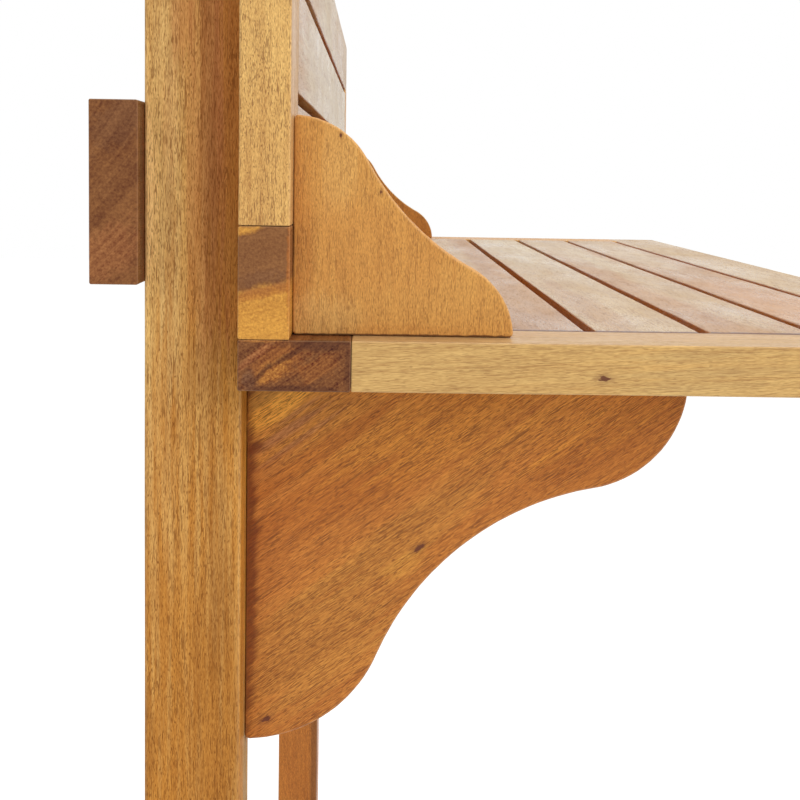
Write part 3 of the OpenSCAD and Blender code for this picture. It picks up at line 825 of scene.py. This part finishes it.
def plain_material(name, colour, metallic, roughness, depth, relief):
    """A metal or plastic finish: an even colour with faint clouds and a fine relief."""
    material, net, sockets = new_material(name, {"Metallic": metallic})
    inputs = {"Colour": (*colour, 1.0), "Depth": depth, "Roughness": roughness}
    surface = net.group(cast_and_wear, inputs)
    join_surface(net, sockets, surface["Colour"], surface, strength=0.4, depth=relief)
    return material


def grain_turn(grain):
    """Rotation from the frame's axes into a board's own, whose Z runs along the grain."""
    along = Vector(grain).normalized()
    helper = Vector(ALONG) if abs(along.x) < 0.5 else Vector(ACROSS)
    up = along.cross(helper).normalized()
    across = up.cross(along)
    return Matrix((across, up, along))


def in_metres(spot):
    """A spot that a table gives in millimetres."""
    return [coordinate * MM for coordinate in spot]


def timber_material(name, middle, look, tones):
    """The finish of one board: the timber figure, turned and centred on the board."""
    material, net, sockets = new_material(name, {"Specular IOR Level": look["gloss"]})
    coordinates = net.add("ShaderNodeTexCoord")
    normal = coordinates["Normal"]

    def paint(label):
        """A tone as a node's colour."""
        return (*getattr(tones, label), 1.0)

    def mapped(location, turn, scale=EVEN, **settings):
        """The point in axes of its own."""
        inputs = {"Vector": coordinates["Object"], "Location": location, "Scale": scale,
                  "Rotation": turn.to_euler("XYZ")}
        return net.add("ShaderNodeMapping", inputs, **settings)[0]

    turn = grain_turn(look["grain"])
    place = mapped(-(turn @ Vector(middle)), turn)
    facing = net.maths("ABSOLUTE", net.vector("DOT_PRODUCT", normal, turn[2]))
    flow = net.group(grain_flow, {
        "Place": place, "Seed": look["seed"], "Pith": (*look["pith"], 0.0),
        "Wander": look["wander"], "Stretch": (1.0, 1.0, look["stretch"]),
    })
    colour = net.group(heartwood, {
        "Place": place, "Distance": flow["Distance"], "Fraying": flow["Fraying"],
        "Sapwood": paint(look["sap"]), "Heartwood": paint(look["heart"]),
        "Heart radius": look["heart_radius"], "Softness": look["soft"],
        "From": look["heart_from"], "Fade": look["heart_fade"],
    })["Colour"]
    # A face that looks one way takes another tone; on some timbers this is painted sheen or painted
    # light on that side.
    if look["open"]:
        label, outward = look["open"]
        open_side = net.remap(net.vector("DOT_PRODUCT", normal, outward), *TURNED)
        colour = net.mix(open_side, colour, paint(label))
    # Patches of other tones: stains in the timber, and in places painted light or painted shade.
    for label, spot, direction, long, wide, strength in look["stains"]:
        own = mapped(in_metres(spot), grain_turn(direction).transposed(),
                     in_metres((wide, wide, long)), vector_type="TEXTURE")
        colour = net.group(stain, {
            "Colour": colour, "Place": own, "Fraying": flow["Fraying"],
            "Tone": paint(label), "Strength": strength,
        })["Colour"]
    figure = net.group(timber_figure, {
        "Ground": colour, "Flowing": flow["Flowing"], "Distance": flow["Distance"],
        "Facing end": net.remap(facing, *TURNED),
        "Edge": net.add("ShaderNodeAttribute", attribute_name="edge")["Fac"],
        "Pore colour": paint("pore"), "Ring spacing": look["ring"],
        "Ring depth": look["ring_depth"], "Fibre depth": look["fibre_depth"],
        "Pore depth": look["pore_depth"], "Mottle depth": look["mottle"],
        "Base roughness": look["rough"],
    })
    colour = figure["Colour"]
    for spot, radius in look["knots"]:
        colour = net.group(knot, {
            "Colour": colour, "Place": place, "Radius": radius * MM,
            "Middle": turn @ (Vector(in_metres(spot)) - Vector(middle)),
        })["Colour"]
    join_surface(net, sockets, colour, figure, strength=0.5, depth=0.0001)
    return material


ALONG, ACROSS, UP, FORWARDS = (1.0, 0.0, 0.0), (0.0, 1.0, 0.0), (0.0, 0.0, 1.0), (0.0, -1.0, 0.0)
PLAIN_LOOK = dict(
    grain=ALONG, sap="honey", heart="rust", pith=(0.05, -0.20), heart_radius=0.0, soft=0.004,
    heart_from=-10.0, heart_fade=0.03, ring=0.007, ring_depth=0.14, fibre_depth=0.30,
    pore_depth=0.5, mottle=0.07, rough=0.4, gloss=0.25, wander=0.004, stretch=1.0, open=(),
    stains=(), knots=(),
)


def rising(degrees):
    """Direction that climbs towards the user, seen on an end of the table."""
    return (0.0, -math.cos(math.radians(degrees)), math.sin(math.radians(degrees)))


# A patch is a tone, its middle in the frame, its direction, its half length and half width, and
# its strength. Most patches are stains in the timber; those marked in a comment are painted light
# or painted shade. A knot is its middle and its radius. Both are in millimetres. A later patch
# lies over an earlier one. "open" is the tone of the faces that look in one direction; on some
# timbers it is painted sheen or painted light on that side.
LEG_STAINS_AND_LIGHT = (
    ("straw", (-430, 179, 1060), UP, 190, 11, 0.9),
    ("chalk", (-430, 179, 1060), UP, 200, 11, 0.12),
    ("tan", (-430, 166, 500), UP, 620, 90, 0.9),
    ("straw", (-430, 185.5, 1075), UP, 85, 6.5, 1.0),
    ("tan", (-430, 178.5, 975), UP, 80, 6, 0.35),
    ("walnut", (-430, 160, 1130), UP, 110, 4.5, 0.30),
    ("walnut", (-430, 158.5, 1060), UP, 80, 3.5, 0.20),
    ("tan", (-430, 149.5, 1090), UP, 150, 6.5, 0.55),
    ("walnut", (-430, 153, 850), UP, 100, 18, 0.22),
    # Painted sheen: cream on the lower front strip of the leg stands in for its whitish gloss at a
    # glancing view, as the leg's own gloss is nearly off.
    ("cream", (-402, 145.5, 620), UP, 340, 26, 1.0),
    ("walnut", (-430, 154.5, 925), UP, 60, 6, 0.25),
    ("walnut", (-430, 176, 1115), UP, 50, 2, 0.30),
    # Painted light: buff along the leg's back edge, beside the batten, offsets the batten's shade.
    ("buff", (-430, 186.2, 1085), UP, 60, 6.2, 0.9),
    ("buff", (-430, 175.5, 1112), UP, 32, 3.6, 0.4),
    ("rust", (-430, 170.5, 1160), UP, 30, 6.8, 0.5),
    ("rust", (-430, 166.8, 1110), UP, 80, 3.6, 0.3),
    ("walnut", (-430, 164.5, 1008), UP, 18, 6.2, 0.25),
    ("walnut", (-430, 185, 852), UP, 30, 4.5, 0.3),
    # Ash over the painted sheen of the leg's front strip tones it down.
    ("ash", (-402, 145.5, 620), UP, 340, 26, 0.30),
)
BATTEN_STAINS_AND_SHADE = (
    # Painted shade: dusk on the batten's front face, in the narrow gap beside the leg where shade
    # falls.
    ("dusk", (-435.5, 186.5, 1085), UP, 200, 6.2, 0.9),
    ("ash", (-444, 194.5, 1113), rising(40), 20, 10, 0.4),
    ("umber", (-444, 192.5, 1090), rising(40), 20, 8, 0.4),
    ("rust", (-444, 199, 1060), rising(40), 20, 12, 0.4),
)
BOTTOM_RAIL_STAINS = (
    ("gold", (-450, 144, 1070), rising(12), 9.5, 2.4, 0.9),
    ("amber", (-450, 135.6, 1045.2), rising(14), 18, 3, 0.5),
    ("ash", (-450, 135, 1051), rising(10), 12, 4, 0.4),
    ("russet", (-450, 124.6, 1052), UP, 26, 1.6, 0.6),
)
BACK_RAIL_STAINS = (
    ("russet", (-450, 129, 1018), rising(30), 17, 9, 0.35),
    ("tan", (-450, 131, 1013.6), rising(32), 10.5, 5, 0.85),
    ("amber", (-450, 113, 1014), rising(34), 12, 6, 0.3),
    ("rust", (-450, 139, 1019), rising(38), 12, 2, 0.6),
    ("ash", (-450, 140.8, 1009.5), UP, 5.8, 3.4, 0.85),
    ("dusk", (-450, 123, 1005.5), ACROSS, 26, 2.6, 0.8),
    ("dusk", (-450, 112.5, 1024.5), ACROSS, 17, 3.4, 0.8),
    ("dusk", (-450, 100.5, 1014), UP, 12, 2, 0.6),
    ("dusk", (-450, 136, 1012), rising(50), 8, 1.4, 0.7),
    ("dusk", (-450, 124, 1020), rising(30), 14, 1.6, 0.7),
    ("dusk", (-450, 114, 1008.5), rising(36), 10, 1.4, 0.6),
    ("tan", (-450, 137, 1025.8), ACROSS, 10, 1, 0.8),
)
BRACKET_STAINS_LIGHT_AND_SHADE = (
    ("russet", (-409, 87, 968), rising(31), 90, 17, 0.75),
    ("tan", (-409, 78, 933), rising(38), 65, 13, 0.75),
    ("tan", (-409, 115, 886), rising(40), 60, 30, 0.8),
    ("russet", (-409, -10, 981), rising(34), 48, 20, 0.45),
    # Painted light: a weak blaze across the upper part of the bracket offsets the shade under the
    # top.
    ("blaze", (-409, 105, 998), ACROSS, 165, 42, 0.27),
    ("rust", (-409, 127, 981), rising(35), 26, 3, 0.75),
    ("rust", (-409, 122, 977), rising(37), 32, 1.8, 0.6),
    # The golden streak is real; gold and blaze make it brighter than the timber is, as painted light
    # against the shade of the top and the leg.
    ("gold", (-409, 141, 996), rising(35), 40, 10, 0.85),
    ("blaze", (-409, 134, 990), rising(34), 28, 6.4, 1.0),
    ("rust", (-409, 122, 990.5), rising(36), 15, 1.4, 0.5),
    ("russet", (-409, 110, 974), rising(35), 50, 6, 0.8),
    ("mahogany", (-409, 141.5, 972.7), rising(35), 6, 2.6, 0.75),
    ("gold", (-409, 75.5, 921.5), rising(38), 16, 5, 0.45),
    # Painted shade: mahogany along the bracket's edge beside the leg, where the leg shades it.
    ("mahogany", (-409, 144.8, 920), UP, 100, 5.5, 0.85),
)
GUARD_STAINS_LIGHT_AND_SHADE = (
    ("amber", (-432, 124, 1070), UP, 70, 7.5, 0.45),
    ("straw", (-432, 106, 1096), UP, 24, 10, 0.3),
    ("amber", (-432, 85, 1027), ACROSS, 50, 4.5, 0.15),
    # Painted light: straw at the guard's lower back corner offsets the shade that falls there.
    ("straw", (-432, 118, 1032), ACROSS, 26, 14, 0.4),
    ("amber", (-432, 90, 1064), ACROSS, 42, 26, 0.22),
    # Painted shadow: a thin dusk line along the guard's foot, where it stands on the top.
    ("dusk", (-432, 80, 1026.2), ACROSS, 200, 0.9, 0.9),
)
# Painted shadow: a dark band across the joint where the slats' ends meet the end rail.
END_SEAM_SHADOW = ("dusk", (-404, 0, 1026), ACROSS, 400, 4.2, 1.0)
BACK_ROSE = ("rose", (-450, 124.5, 1130), ALONG, 350, 200, 0.75)
SLAT_LOOK = dict(sap="amber", open=("rose", UP), rough=0.30, fibre_depth=0.2, gloss=0.5)
# Painted sheen: the backboard's front faces take chalk.
BACK_LOOK = dict(SLAT_LOOK, open=("chalk", FORWARDS), stains=(BACK_ROSE,))
LOOKS = dict(
    left_leg=dict(
        # Painted light: the leg's front face takes gold, lighter than the timber, against the shade
        # of the bracket; its gloss is nearly off.
        grain=UP, stretch=1.1, open=("gold", FORWARDS), fibre_depth=0.25, pore_depth=0.62,
        sap="honey", heart="rust", pith=(0.0, -0.16), heart_radius=0.1595, soft=0.008,
        gloss=0.004, heart_from=0.36, heart_fade=0.05, stains=LEG_STAINS_AND_LIGHT),
    right_leg=dict(grain=UP, sap="amber", pith=(0.1, -0.2),
                   # Darker along the right leg's front edge.
                   stains=(("walnut", (391, 147.5, 600), UP, 900, 8, 0.8),)),
    left_runner=dict(grain=ACROSS, sap="tan"),
    right_runner=dict(grain=ACROSS, sap="honey"),
    upper_batten=dict(
        sap="walnut", pith=(0.15, 0.13), ring=0.0022, ring_depth=0.45, mottle=0.15,
        pore_depth=0.3, stains=BATTEN_STAINS_AND_SHADE),
    lower_batten=dict(sap="tan"),
    top_back_rail=dict(
        sap="walnut", pith=(0.12, 0.16), ring=0.0016, ring_depth=0.7, wander=0.008,
        fibre_depth=0.44, stains=BACK_RAIL_STAINS),
    top_front_rail=dict(SLAT_LOOK, open=("cream", UP)),
    top_left_end_rail=dict(
        grain=(0.0, 1.0, -0.06), sap="straw", pore_depth=0.3, fibre_depth=0.22, stretch=0.7,
        open=("wheat", UP), ring=0.004, ring_depth=0.2, pith=(0.1, -0.06),
        stains=(("cream", (-450, 95, 1015.5), ACROSS, 200, 40, 0.45),
                ("cream", (-450, -85, 1015.5), ACROSS, 90, 40, 0.4), END_SEAM_SHADOW),
        knots=(((-450, -3.5, 1012), 1.1),)),
    top_right_end_rail=dict(grain=ACROSS, sap="honey"),
    top_slat_1=dict(SLAT_LOOK, stains=(END_SEAM_SHADOW,)),
    top_slat_2=dict(SLAT_LOOK, stains=(
        # Painted sheen: cream over the far part of the slat, for the whitish gloss of grazing light.
        ("cream", (150, 30, 1026), ALONG, 400, 20, 0.7),
        ("umber", (-400, 20, 1026), ALONG, 120, 30, 0.3), END_SEAM_SHADOW)),
    top_slat_3=dict(SLAT_LOOK, open=("cream", UP), stains=(
        ("rose", (-300, -20, 1026), ALONG, 220, 12, 0.6),
        ("pale", (0, -45, 1026), ALONG, 250, 10, 0.6),
        # Painted sheen: chalk towards the far end.
        ("chalk", (280, -30, 1026), ALONG, 360, 30, 0.6), END_SEAM_SHADOW)),
    top_slat_4=dict(SLAT_LOOK, stains=(
        ("cream", (-100, -90, 1026), ALONG, 400, 18, 0.9),
        # Painted sheen: chalk towards the far end.
        ("chalk", (280, -80, 1026), ALONG, 360, 30, 0.6), END_SEAM_SHADOW)),
    top_slat_5=dict(SLAT_LOOK, stains=(
        # Painted sheen: chalk towards the far end.
        ("chalk", (250, -130, 1026), ALONG, 350, 30, 0.55),
        ("tan", (-290, -130, 1026), ALONG, 220, 32, 0.45), END_SEAM_SHADOW)),
    top_cleat=dict(grain=ACROSS, sap="honey"),
    board_bottom_rail=dict(
        sap="gold", heart="umber", pith=(0.032, 0.145), heart_radius=0.1516, soft=0.005,
        ring=0.0016, ring_depth=0.22, pore_depth=0.3, fibre_depth=0.26,
        stains=BOTTOM_RAIL_STAINS),
    board_top_rail=dict(BACK_LOOK, stains=(
        BACK_ROSE, ("rose", (300, 124.5, 1200), ALONG, 400, 50, 0.45))),
    board_left_stile=dict(
        grain=UP, sap="straw", stretch=1.7, fibre_depth=0.27, pore_depth=0.6,
        # Painted sheen: the stile's front face takes wheat, less yellow than its straw, for the
        # whitish gloss seen at a glance.
        open=("wheat", FORWARDS), stains=(("honey", (-450, 137, 1080), UP, 60, 40, 0.6),)),
    board_right_stile=dict(grain=UP, sap="honey"),
    board_lower_slat=BACK_LOOK,
    board_upper_slat=dict(BACK_LOOK, stains=(
        # Painted sheen: chalk on the slat's front.
        BACK_ROSE, ("chalk", (-220, 124.5, 1150), ALONG, 180, 40, 0.85))),
    board_cleat=dict(grain=UP, sap="honey"),
    left_shelf_bracket=dict(
        grain=rising(35), sap="amber", fibre_depth=0.32, pore_depth=0.68, stretch=0.8,
        stains=BRACKET_STAINS_LIGHT_AND_SHADE,
        knots=(((-409, 69.6, 929.3), 1.2), ((-409, 136, 850.9), 1.2))),
    right_shelf_bracket=dict(grain=rising(35), sap="amber"),
    left_end_guard=dict(
        grain=UP, sap="guard", ring_depth=0.05, stretch=1.6, mottle=0.02, fibre_depth=0.23,
        pore_depth=0.4, stains=GUARD_STAINS_LIGHT_AND_SHADE,
        knots=(((-432, 105.1, 1109.3), 0.5), ((-432, 88.3, 1086.1), 0.5))),
    # Painted sheen: chalk on the far guard's faces that look up and forwards.
    right_end_guard=dict(grain=UP, sap="tan", open=("chalk", (0.0, -0.64, 0.77))),
)


# Pieces


def slot_of(node):
    """The record's material slot of a node."""
    for row in frame["record"]["subparts"]:
        if row["node"] == node:
            return row["material_slot"]
    raise RuntimeError(f"the record has no slot for {node}")


def coat(piece, material):
    """Makes a material the only one of a piece."""
    piece.data.materials.clear()
    piece.data.materials.append(material)


def dress(piece, node, settings):
    """Gives a new timber its finish and its body, and hides the solid that it stands for."""
    low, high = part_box(node)
    look = {**PLAIN_LOOK, "seed": 1.0 + list(LOOKS).index(node), **LOOKS[node]}
    coat(piece, timber_material(f"{node}_finish", (low + high) / 2, look, settings.tones))
    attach(piece, "root")
    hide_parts(node)


def make_boards(nodes, settings, holes):
    """Boards in the places of these nodes, drilled and dressed."""
    sizes = settings.sizes
    for node in nodes:
        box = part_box(node)
        axis = int(np.argmax(np.array(box[1] - box[0])))
        radius = sizes.leg_radius if node.endswith("_leg") else sizes.edge_radius
        piece = board(f"{node}_timber", box, axis, radius, sizes, list(LOOKS).index(node))
        bore(piece, node, holes)
        dress(piece, node, settings)


def make_plate(node, outline, rim, place, settings, holes=()):
    """A plate across the top's length in the place of a node, drilled and dressed.

    place turns the outline's two coordinates into Y and Z.
    """
    low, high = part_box(node)
    middle = (low.x + high.x) / 2

    def stand(first, second, thick):
        return np.stack([middle + thick, *place(first, second)], axis=-1)

    seed = list(LOOKS).index(node)
    piece = plate(f"{node}_timber", outline, high.x - low.x, rim, stand, settings.sizes.wear, seed)
    bore(piece, node, holes)
    dress(piece, node, settings)


class TimberOperator:
    """What the operators share: a plain error when a node is missing, and boards as the pieces.

    sunk names the screws that are sunk in these boards, with the axis and side of their heads.
    """

    bl_options = {"REGISTER"}
    nodes = ()
    sunk = ()

    def execute(self, context):
        missing = [node for node in self.nodes if node not in frame["nodes"]]
        if missing:
            raise RuntimeError(f"the frame lacks {', '.join(missing)}")
        self.make(context.scene.balcony_table)
        return {"FINISHED"}

    def make(self, settings):
        """Puts boards in the places of the nodes."""
        profile = sunk_hole(settings.sizes)
        holes = [(fastener_ends(*row), *row[1:], profile) for row in self.sunk]
        make_boards(self.nodes, settings, holes)


class CurvedOperator(TimberOperator):
    """What brackets and guards share: an ogee that goes up or down from its corner at the back.

    kind begins the names of its sizes, and rise is 1 where it goes up and -1 where it goes down.
    """

    def make(self, settings):
        sizes = settings.sizes
        parts = ("nose", "toe", "hollow", "rim")
        nose, toe, hollow, rim = (getattr(sizes, f"{self.kind}_{part}") for part in parts)
        for node in self.nodes:
            low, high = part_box(node)
            corner = (low if self.rise > 0 else high).z

            def place(forward, tall):
                return high.y - forward, corner + self.rise * tall

            outline = ogee_outline(high.y - low.y, high.z - low.z, nose, toe, hollow,
                                   rim + sizes.corner_margin)
            make_plate(node, outline, rim, place, settings)


class TABLE_OT_uprights(TimberOperator, bpy.types.Operator):
    """Make the two uprights, with their bolt recesses and barrel nut holes"""

    bl_idname = "table.uprights"
    bl_label = "Uprights"
    nodes = ("left_leg", "right_leg")

    def make(self, settings):
        sizes = settings.sizes
        heads = fastener_ends("leg_bolts", Y_AXIS, 1)
        head = straight_hole(sizes.head_recess, sizes)
        barrel = straight_hole(sizes.barrel_depth, sizes)
        low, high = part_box("barrel_nuts")
        radius = (high.z - low.z) / 2
        for node, side in zip(self.nodes, (1, -1)):
            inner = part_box(node)[0 if side < 0 else 1].x
            middle = np.array([inner, (low.y + high.y) / 2, (low.z + high.z) / 2])
            holes = [(heads, Y_AXIS, 1, head), ([(middle, radius)], X_AXIS, side, barrel)]
            make_boards((node,), settings, holes)


class TABLE_OT_runners(TimberOperator, bpy.types.Operator):
    """Make the two floor runners, with the holes for their bolts"""

    bl_idname = "table.runners"
    bl_label = "Runners"
    nodes = ("left_runner", "right_runner")

    def make(self, settings):
        sizes = settings.sizes
        heads = fastener_ends("runner_bolts", Z_AXIS, -1)
        for node in self.nodes:
            low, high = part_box(node)
            depth = heads[0][0][Z_AXIS] - low.z + sizes.head_recess

            def place(along, tall):
                return low.y + along, low.z + tall

            outline = runner_outline(high.y - low.y, high.z - low.z, sizes.runner_corner,
                                     sizes.runner_rim + sizes.corner_margin)
            holes = [(heads, Z_AXIS, -1, straight_hole(depth, sizes))]
            make_plate(node, outline, sizes.runner_rim, place, settings, holes)


class TABLE_OT_battens(TimberOperator, bpy.types.Operator):
    """Make the two battens behind the uprights, sunk for their screws"""

    bl_idname = "table.battens"
    bl_label = "Battens"
    nodes = ("upper_batten", "lower_batten")
    sunk = (("batten_screws", Y_AXIS, 1),)


class TABLE_OT_top_frame(TimberOperator, bpy.types.Operator):
    """Make the rails and end rails of the top"""

    bl_idname = "table.top_frame"
    bl_label = "Frame of the top"
    nodes = ("top_back_rail", "top_front_rail", "top_left_end_rail", "top_right_end_rail")
    sunk = (("rail_screws", Z_AXIS, -1),)


class TABLE_OT_top_slats(TimberOperator, bpy.types.Operator):
    """Make the slats of the top"""

    bl_idname = "table.top_slats"
    bl_label = "Slats of the top"
    nodes = tuple(f"top_slat_{number}" for number in range(1, 6))


class TABLE_OT_backboard(TimberOperator, bpy.types.Operator):
    """Make the rails, stiles and slats of the backboard"""

    bl_idname = "table.backboard"
    bl_label = "Backboard"
    nodes = ("board_bottom_rail", "board_top_rail", "board_left_stile", "board_right_stile",
             "board_lower_slat", "board_upper_slat")


class TABLE_OT_cleats(TimberOperator, bpy.types.Operator):
    """Make the cleats across the middle of the top and of the backboard, sunk for their screws"""

    bl_idname = "table.cleats"
    bl_label = "Cleats"
    nodes = ("top_cleat", "board_cleat")
    sunk = (("cleat_screws", Z_AXIS, -1), ("cleat_screws", Y_AXIS, 1))


class TABLE_OT_shelf_brackets(CurvedOperator, bpy.types.Operator):
    """Make the curved brackets under the top"""

    bl_idname = "table.shelf_brackets"
    bl_label = "Shelf brackets"
    nodes = ("left_shelf_bracket", "right_shelf_bracket")
    kind, rise = "bracket", -1


class TABLE_OT_end_guards(CurvedOperator, bpy.types.Operator):
    """Make the small curved guards on the top"""

    bl_idname = "table.end_guards"
    bl_label = "End guards"
    nodes = ("left_end_guard", "right_end_guard")
    kind, rise = "guard", 1


# By slot of the record: name, colour, metallic, roughness, depth of the clouds, relief in metres
PLAIN_FINISHES = {
    "zinc_steel": ("zinc_plate", (0.70, 0.71, 0.72), 1.0, 0.34, 0.08, 0.00001),
    "insert_brass": ("insert_nut_brass", (0.72, 0.52, 0.22), 1.0, 0.35, 0.08, 0.00001),
    "glide_plastic": ("glide_plastic", (0.035, 0.032, 0.030), 0.0, 0.55, 0.15, 0.00005),
}
DOWEL_LOOK = {**PLAIN_LOOK, "seed": 50.0, "sap": "beech", "ring_depth": 0.05}


class TABLE_OT_hardware(TimberOperator, bpy.types.Operator):
    """Finish the bolts, nuts, screws, glides and dowels, which keep their solids"""

    bl_idname = "table.hardware"
    bl_label = "Hardware"
    nodes = ("leg_bolts", "runner_bolts", "barrel_nuts", "batten_screws", "cleat_screws",
             "rail_screws", "insert_nuts", "floor_glides", "runner_dowels", "top_dowels",
             "board_dowels", "bracket_dowels", "guard_dowels")

    def make(self, settings):
        finishes = {slot: plain_material(*row) for slot, row in PLAIN_FINISHES.items()}
        beech = timber_material("dowel_beech", ORIGIN, DOWEL_LOOK, settings.tones)
        finishes["dowel_wood"] = beech
        for node in self.nodes:
            coat(frame["nodes"][node], finishes[slot_of(node)])


# Stage


def point_camera(stage):
    """A camera at the height and angle of the picture.

    Its line of sight is the X axis turned by yaw and tilted down by pitch, and the frame is then
    turned about that line by roll.
    """
    lens = bpy.data.cameras.new("camera")
    lens.sensor_width = 36.0
    lens.lens = stage.focal_length
    lens.shift_y = stage.frame_shift
    aim = Euler((QUARTER_TURN - stage.pitch, 0.0, stage.yaw - QUARTER_TURN)).to_matrix()
    turn = aim @ Matrix.Rotation(stage.roll, 3, "Z")
    place = Vector((stage.camera_x, stage.camera_y, stage.camera_z))
    camera = add_object("camera", lens)
    camera.matrix_world = Matrix.Translation(place) @ turn.to_4x4()
    bpy.context.scene.camera = camera


def soft_lamp(name, place, target, size, power):
    """A large square lamp that faces a point."""
    lamp = bpy.data.lights.new(name, "AREA")
    lamp.size = size
    lamp.energy = power
    aim = (Vector(target) - Vector(place)).to_track_quat("-Z", "Y")
    add_object(name, lamp).matrix_world = Matrix.Translation(place) @ aim.to_matrix().to_4x4()


def seen_directly(net):
    """A mask of the rays that show the background: from the camera, in gloss or through glass."""
    path = net.add("ShaderNodeLightPath")
    seen = net.maths("MAXIMUM", path["Is Camera Ray"], path["Is Glossy Ray"])
    return net.maths("MAXIMUM", seen, path["Is Transmission Ray"])


def lay_floor(stage, glow=0.36):
    """A pale floor that keeps the shadow: part of its brightness is its own, for direct rays."""
    half = stage.floor_size / 2
    corners = [(-half, -half, 0.0), (half, -half, 0.0), (half, half, 0.0), (-half, half, 0.0)]
    mesh = bpy.data.meshes.new("floor")
    mesh.from_pydata(corners, [], [(0, 1, 2, 3)])
    floor = add_object("floor", mesh)
    material, net, sockets = new_material("pale_floor", {
        "Base Color": (0.85, 0.85, 0.85, 1.0), "Roughness": 0.9, "Specular IOR Level": 0.1,
        "Emission Color": WHITE,
    })
    net.join(net.times(seen_directly(net), glow), sockets["Emission Strength"])
    coat(floor, material)


def light_world(stage):
    """An even dome, white where it is seen directly.

    In gloss it is white beyond the far end of the table and darker on the near side, as a studio
    with one white wall is.
    """
    world = bpy.data.worlds.new("studio")
    world.use_nodes = True
    net = Net(world.node_tree)
    dome = world.node_tree.nodes["Background"].inputs
    dome["Color"].default_value = WHITE
    along = net.part(net.add("ShaderNodeTexCoord")["Generated"], X_AXIS)
    near_side, far_side = -0.5, 0.3
    wall = net.remap(along, near_side, far_side, stage.near_gloss, 1.0)
    path = net.add("ShaderNodeLightPath")
    seen = net.maths("MAXIMUM", path["Is Camera Ray"], path["Is Transmission Ray"])
    seen = net.maths("MAXIMUM", seen, net.times(path["Is Glossy Ray"], wall))
    even = net.times(path["Is Diffuse Ray"], stage.dome_level)
    net.join(net.maths("MAXIMUM", seen, even), dome["Strength"])
    bpy.context.scene.world = world


class TABLE_OT_stage(TimberOperator, bpy.types.Operator):
    """Set up the camera, the soft light and the pale floor"""

    bl_idname = "table.stage"
    bl_label = "Stage"

    def make(self, settings):
        stage = settings.stage
        bpy.context.scene.view_settings.view_transform = "Standard"
        point_camera(stage)
        light_world(stage)
        lay_floor(stage)
        soft_lamp("key_lamp", place=(-1.9, -1.3, 2.3), target=(-0.4, 0.0, 1.0), size=1.6,
                  power=stage.key_level)
        soft_lamp("overhead_lamp", place=(0.2, -0.4, 2.9), target=(0.0, 0.0, 1.0), size=1.8,
                  power=stage.fill_level)


class TABLE_PT_sidebar(bpy.types.Panel):
    """The table's steps and settings"""

    bl_idname = "TABLE_PT_sidebar"
    bl_label = "Balcony Bar Table"
    bl_space_type = "VIEW_3D"
    bl_region_type = "UI"
    bl_category = "Table"

    def draw(self, context):
        settings = context.scene.balcony_table
        for step in STEPS:
            self.layout.operator(step.bl_idname)
        for group in (settings.sizes, settings.tones, settings.stage):
            box = self.layout.box()
            for name in group.__annotations__:
                box.prop(group, name)


STEPS = (
    TABLE_OT_stage, TABLE_OT_uprights, TABLE_OT_runners, TABLE_OT_battens, TABLE_OT_top_frame,
    TABLE_OT_top_slats, TABLE_OT_backboard, TABLE_OT_cleats, TABLE_OT_shelf_brackets,
    TABLE_OT_end_guards, TABLE_OT_hardware,
)
CLASSES = (TimberSizes, TimberTones, StageSettings, TableSettings, *STEPS, TABLE_PT_sidebar)


def register():
    for item in CLASSES:
        bpy.utils.register_class(item)
    bpy.types.Scene.balcony_table = PointerProperty(type=TableSettings)


def unregister():
    del bpy.types.Scene.balcony_table
    for item in reversed(CLASSES):
        bpy.utils.unregister_class(item)


def main():
    """Builds everything in order."""
    register()
    for step in STEPS:
        category, name = step.bl_idname.split(".")
        getattr(getattr(bpy.ops, category), name)()


if __name__ == "__main__":
    main()
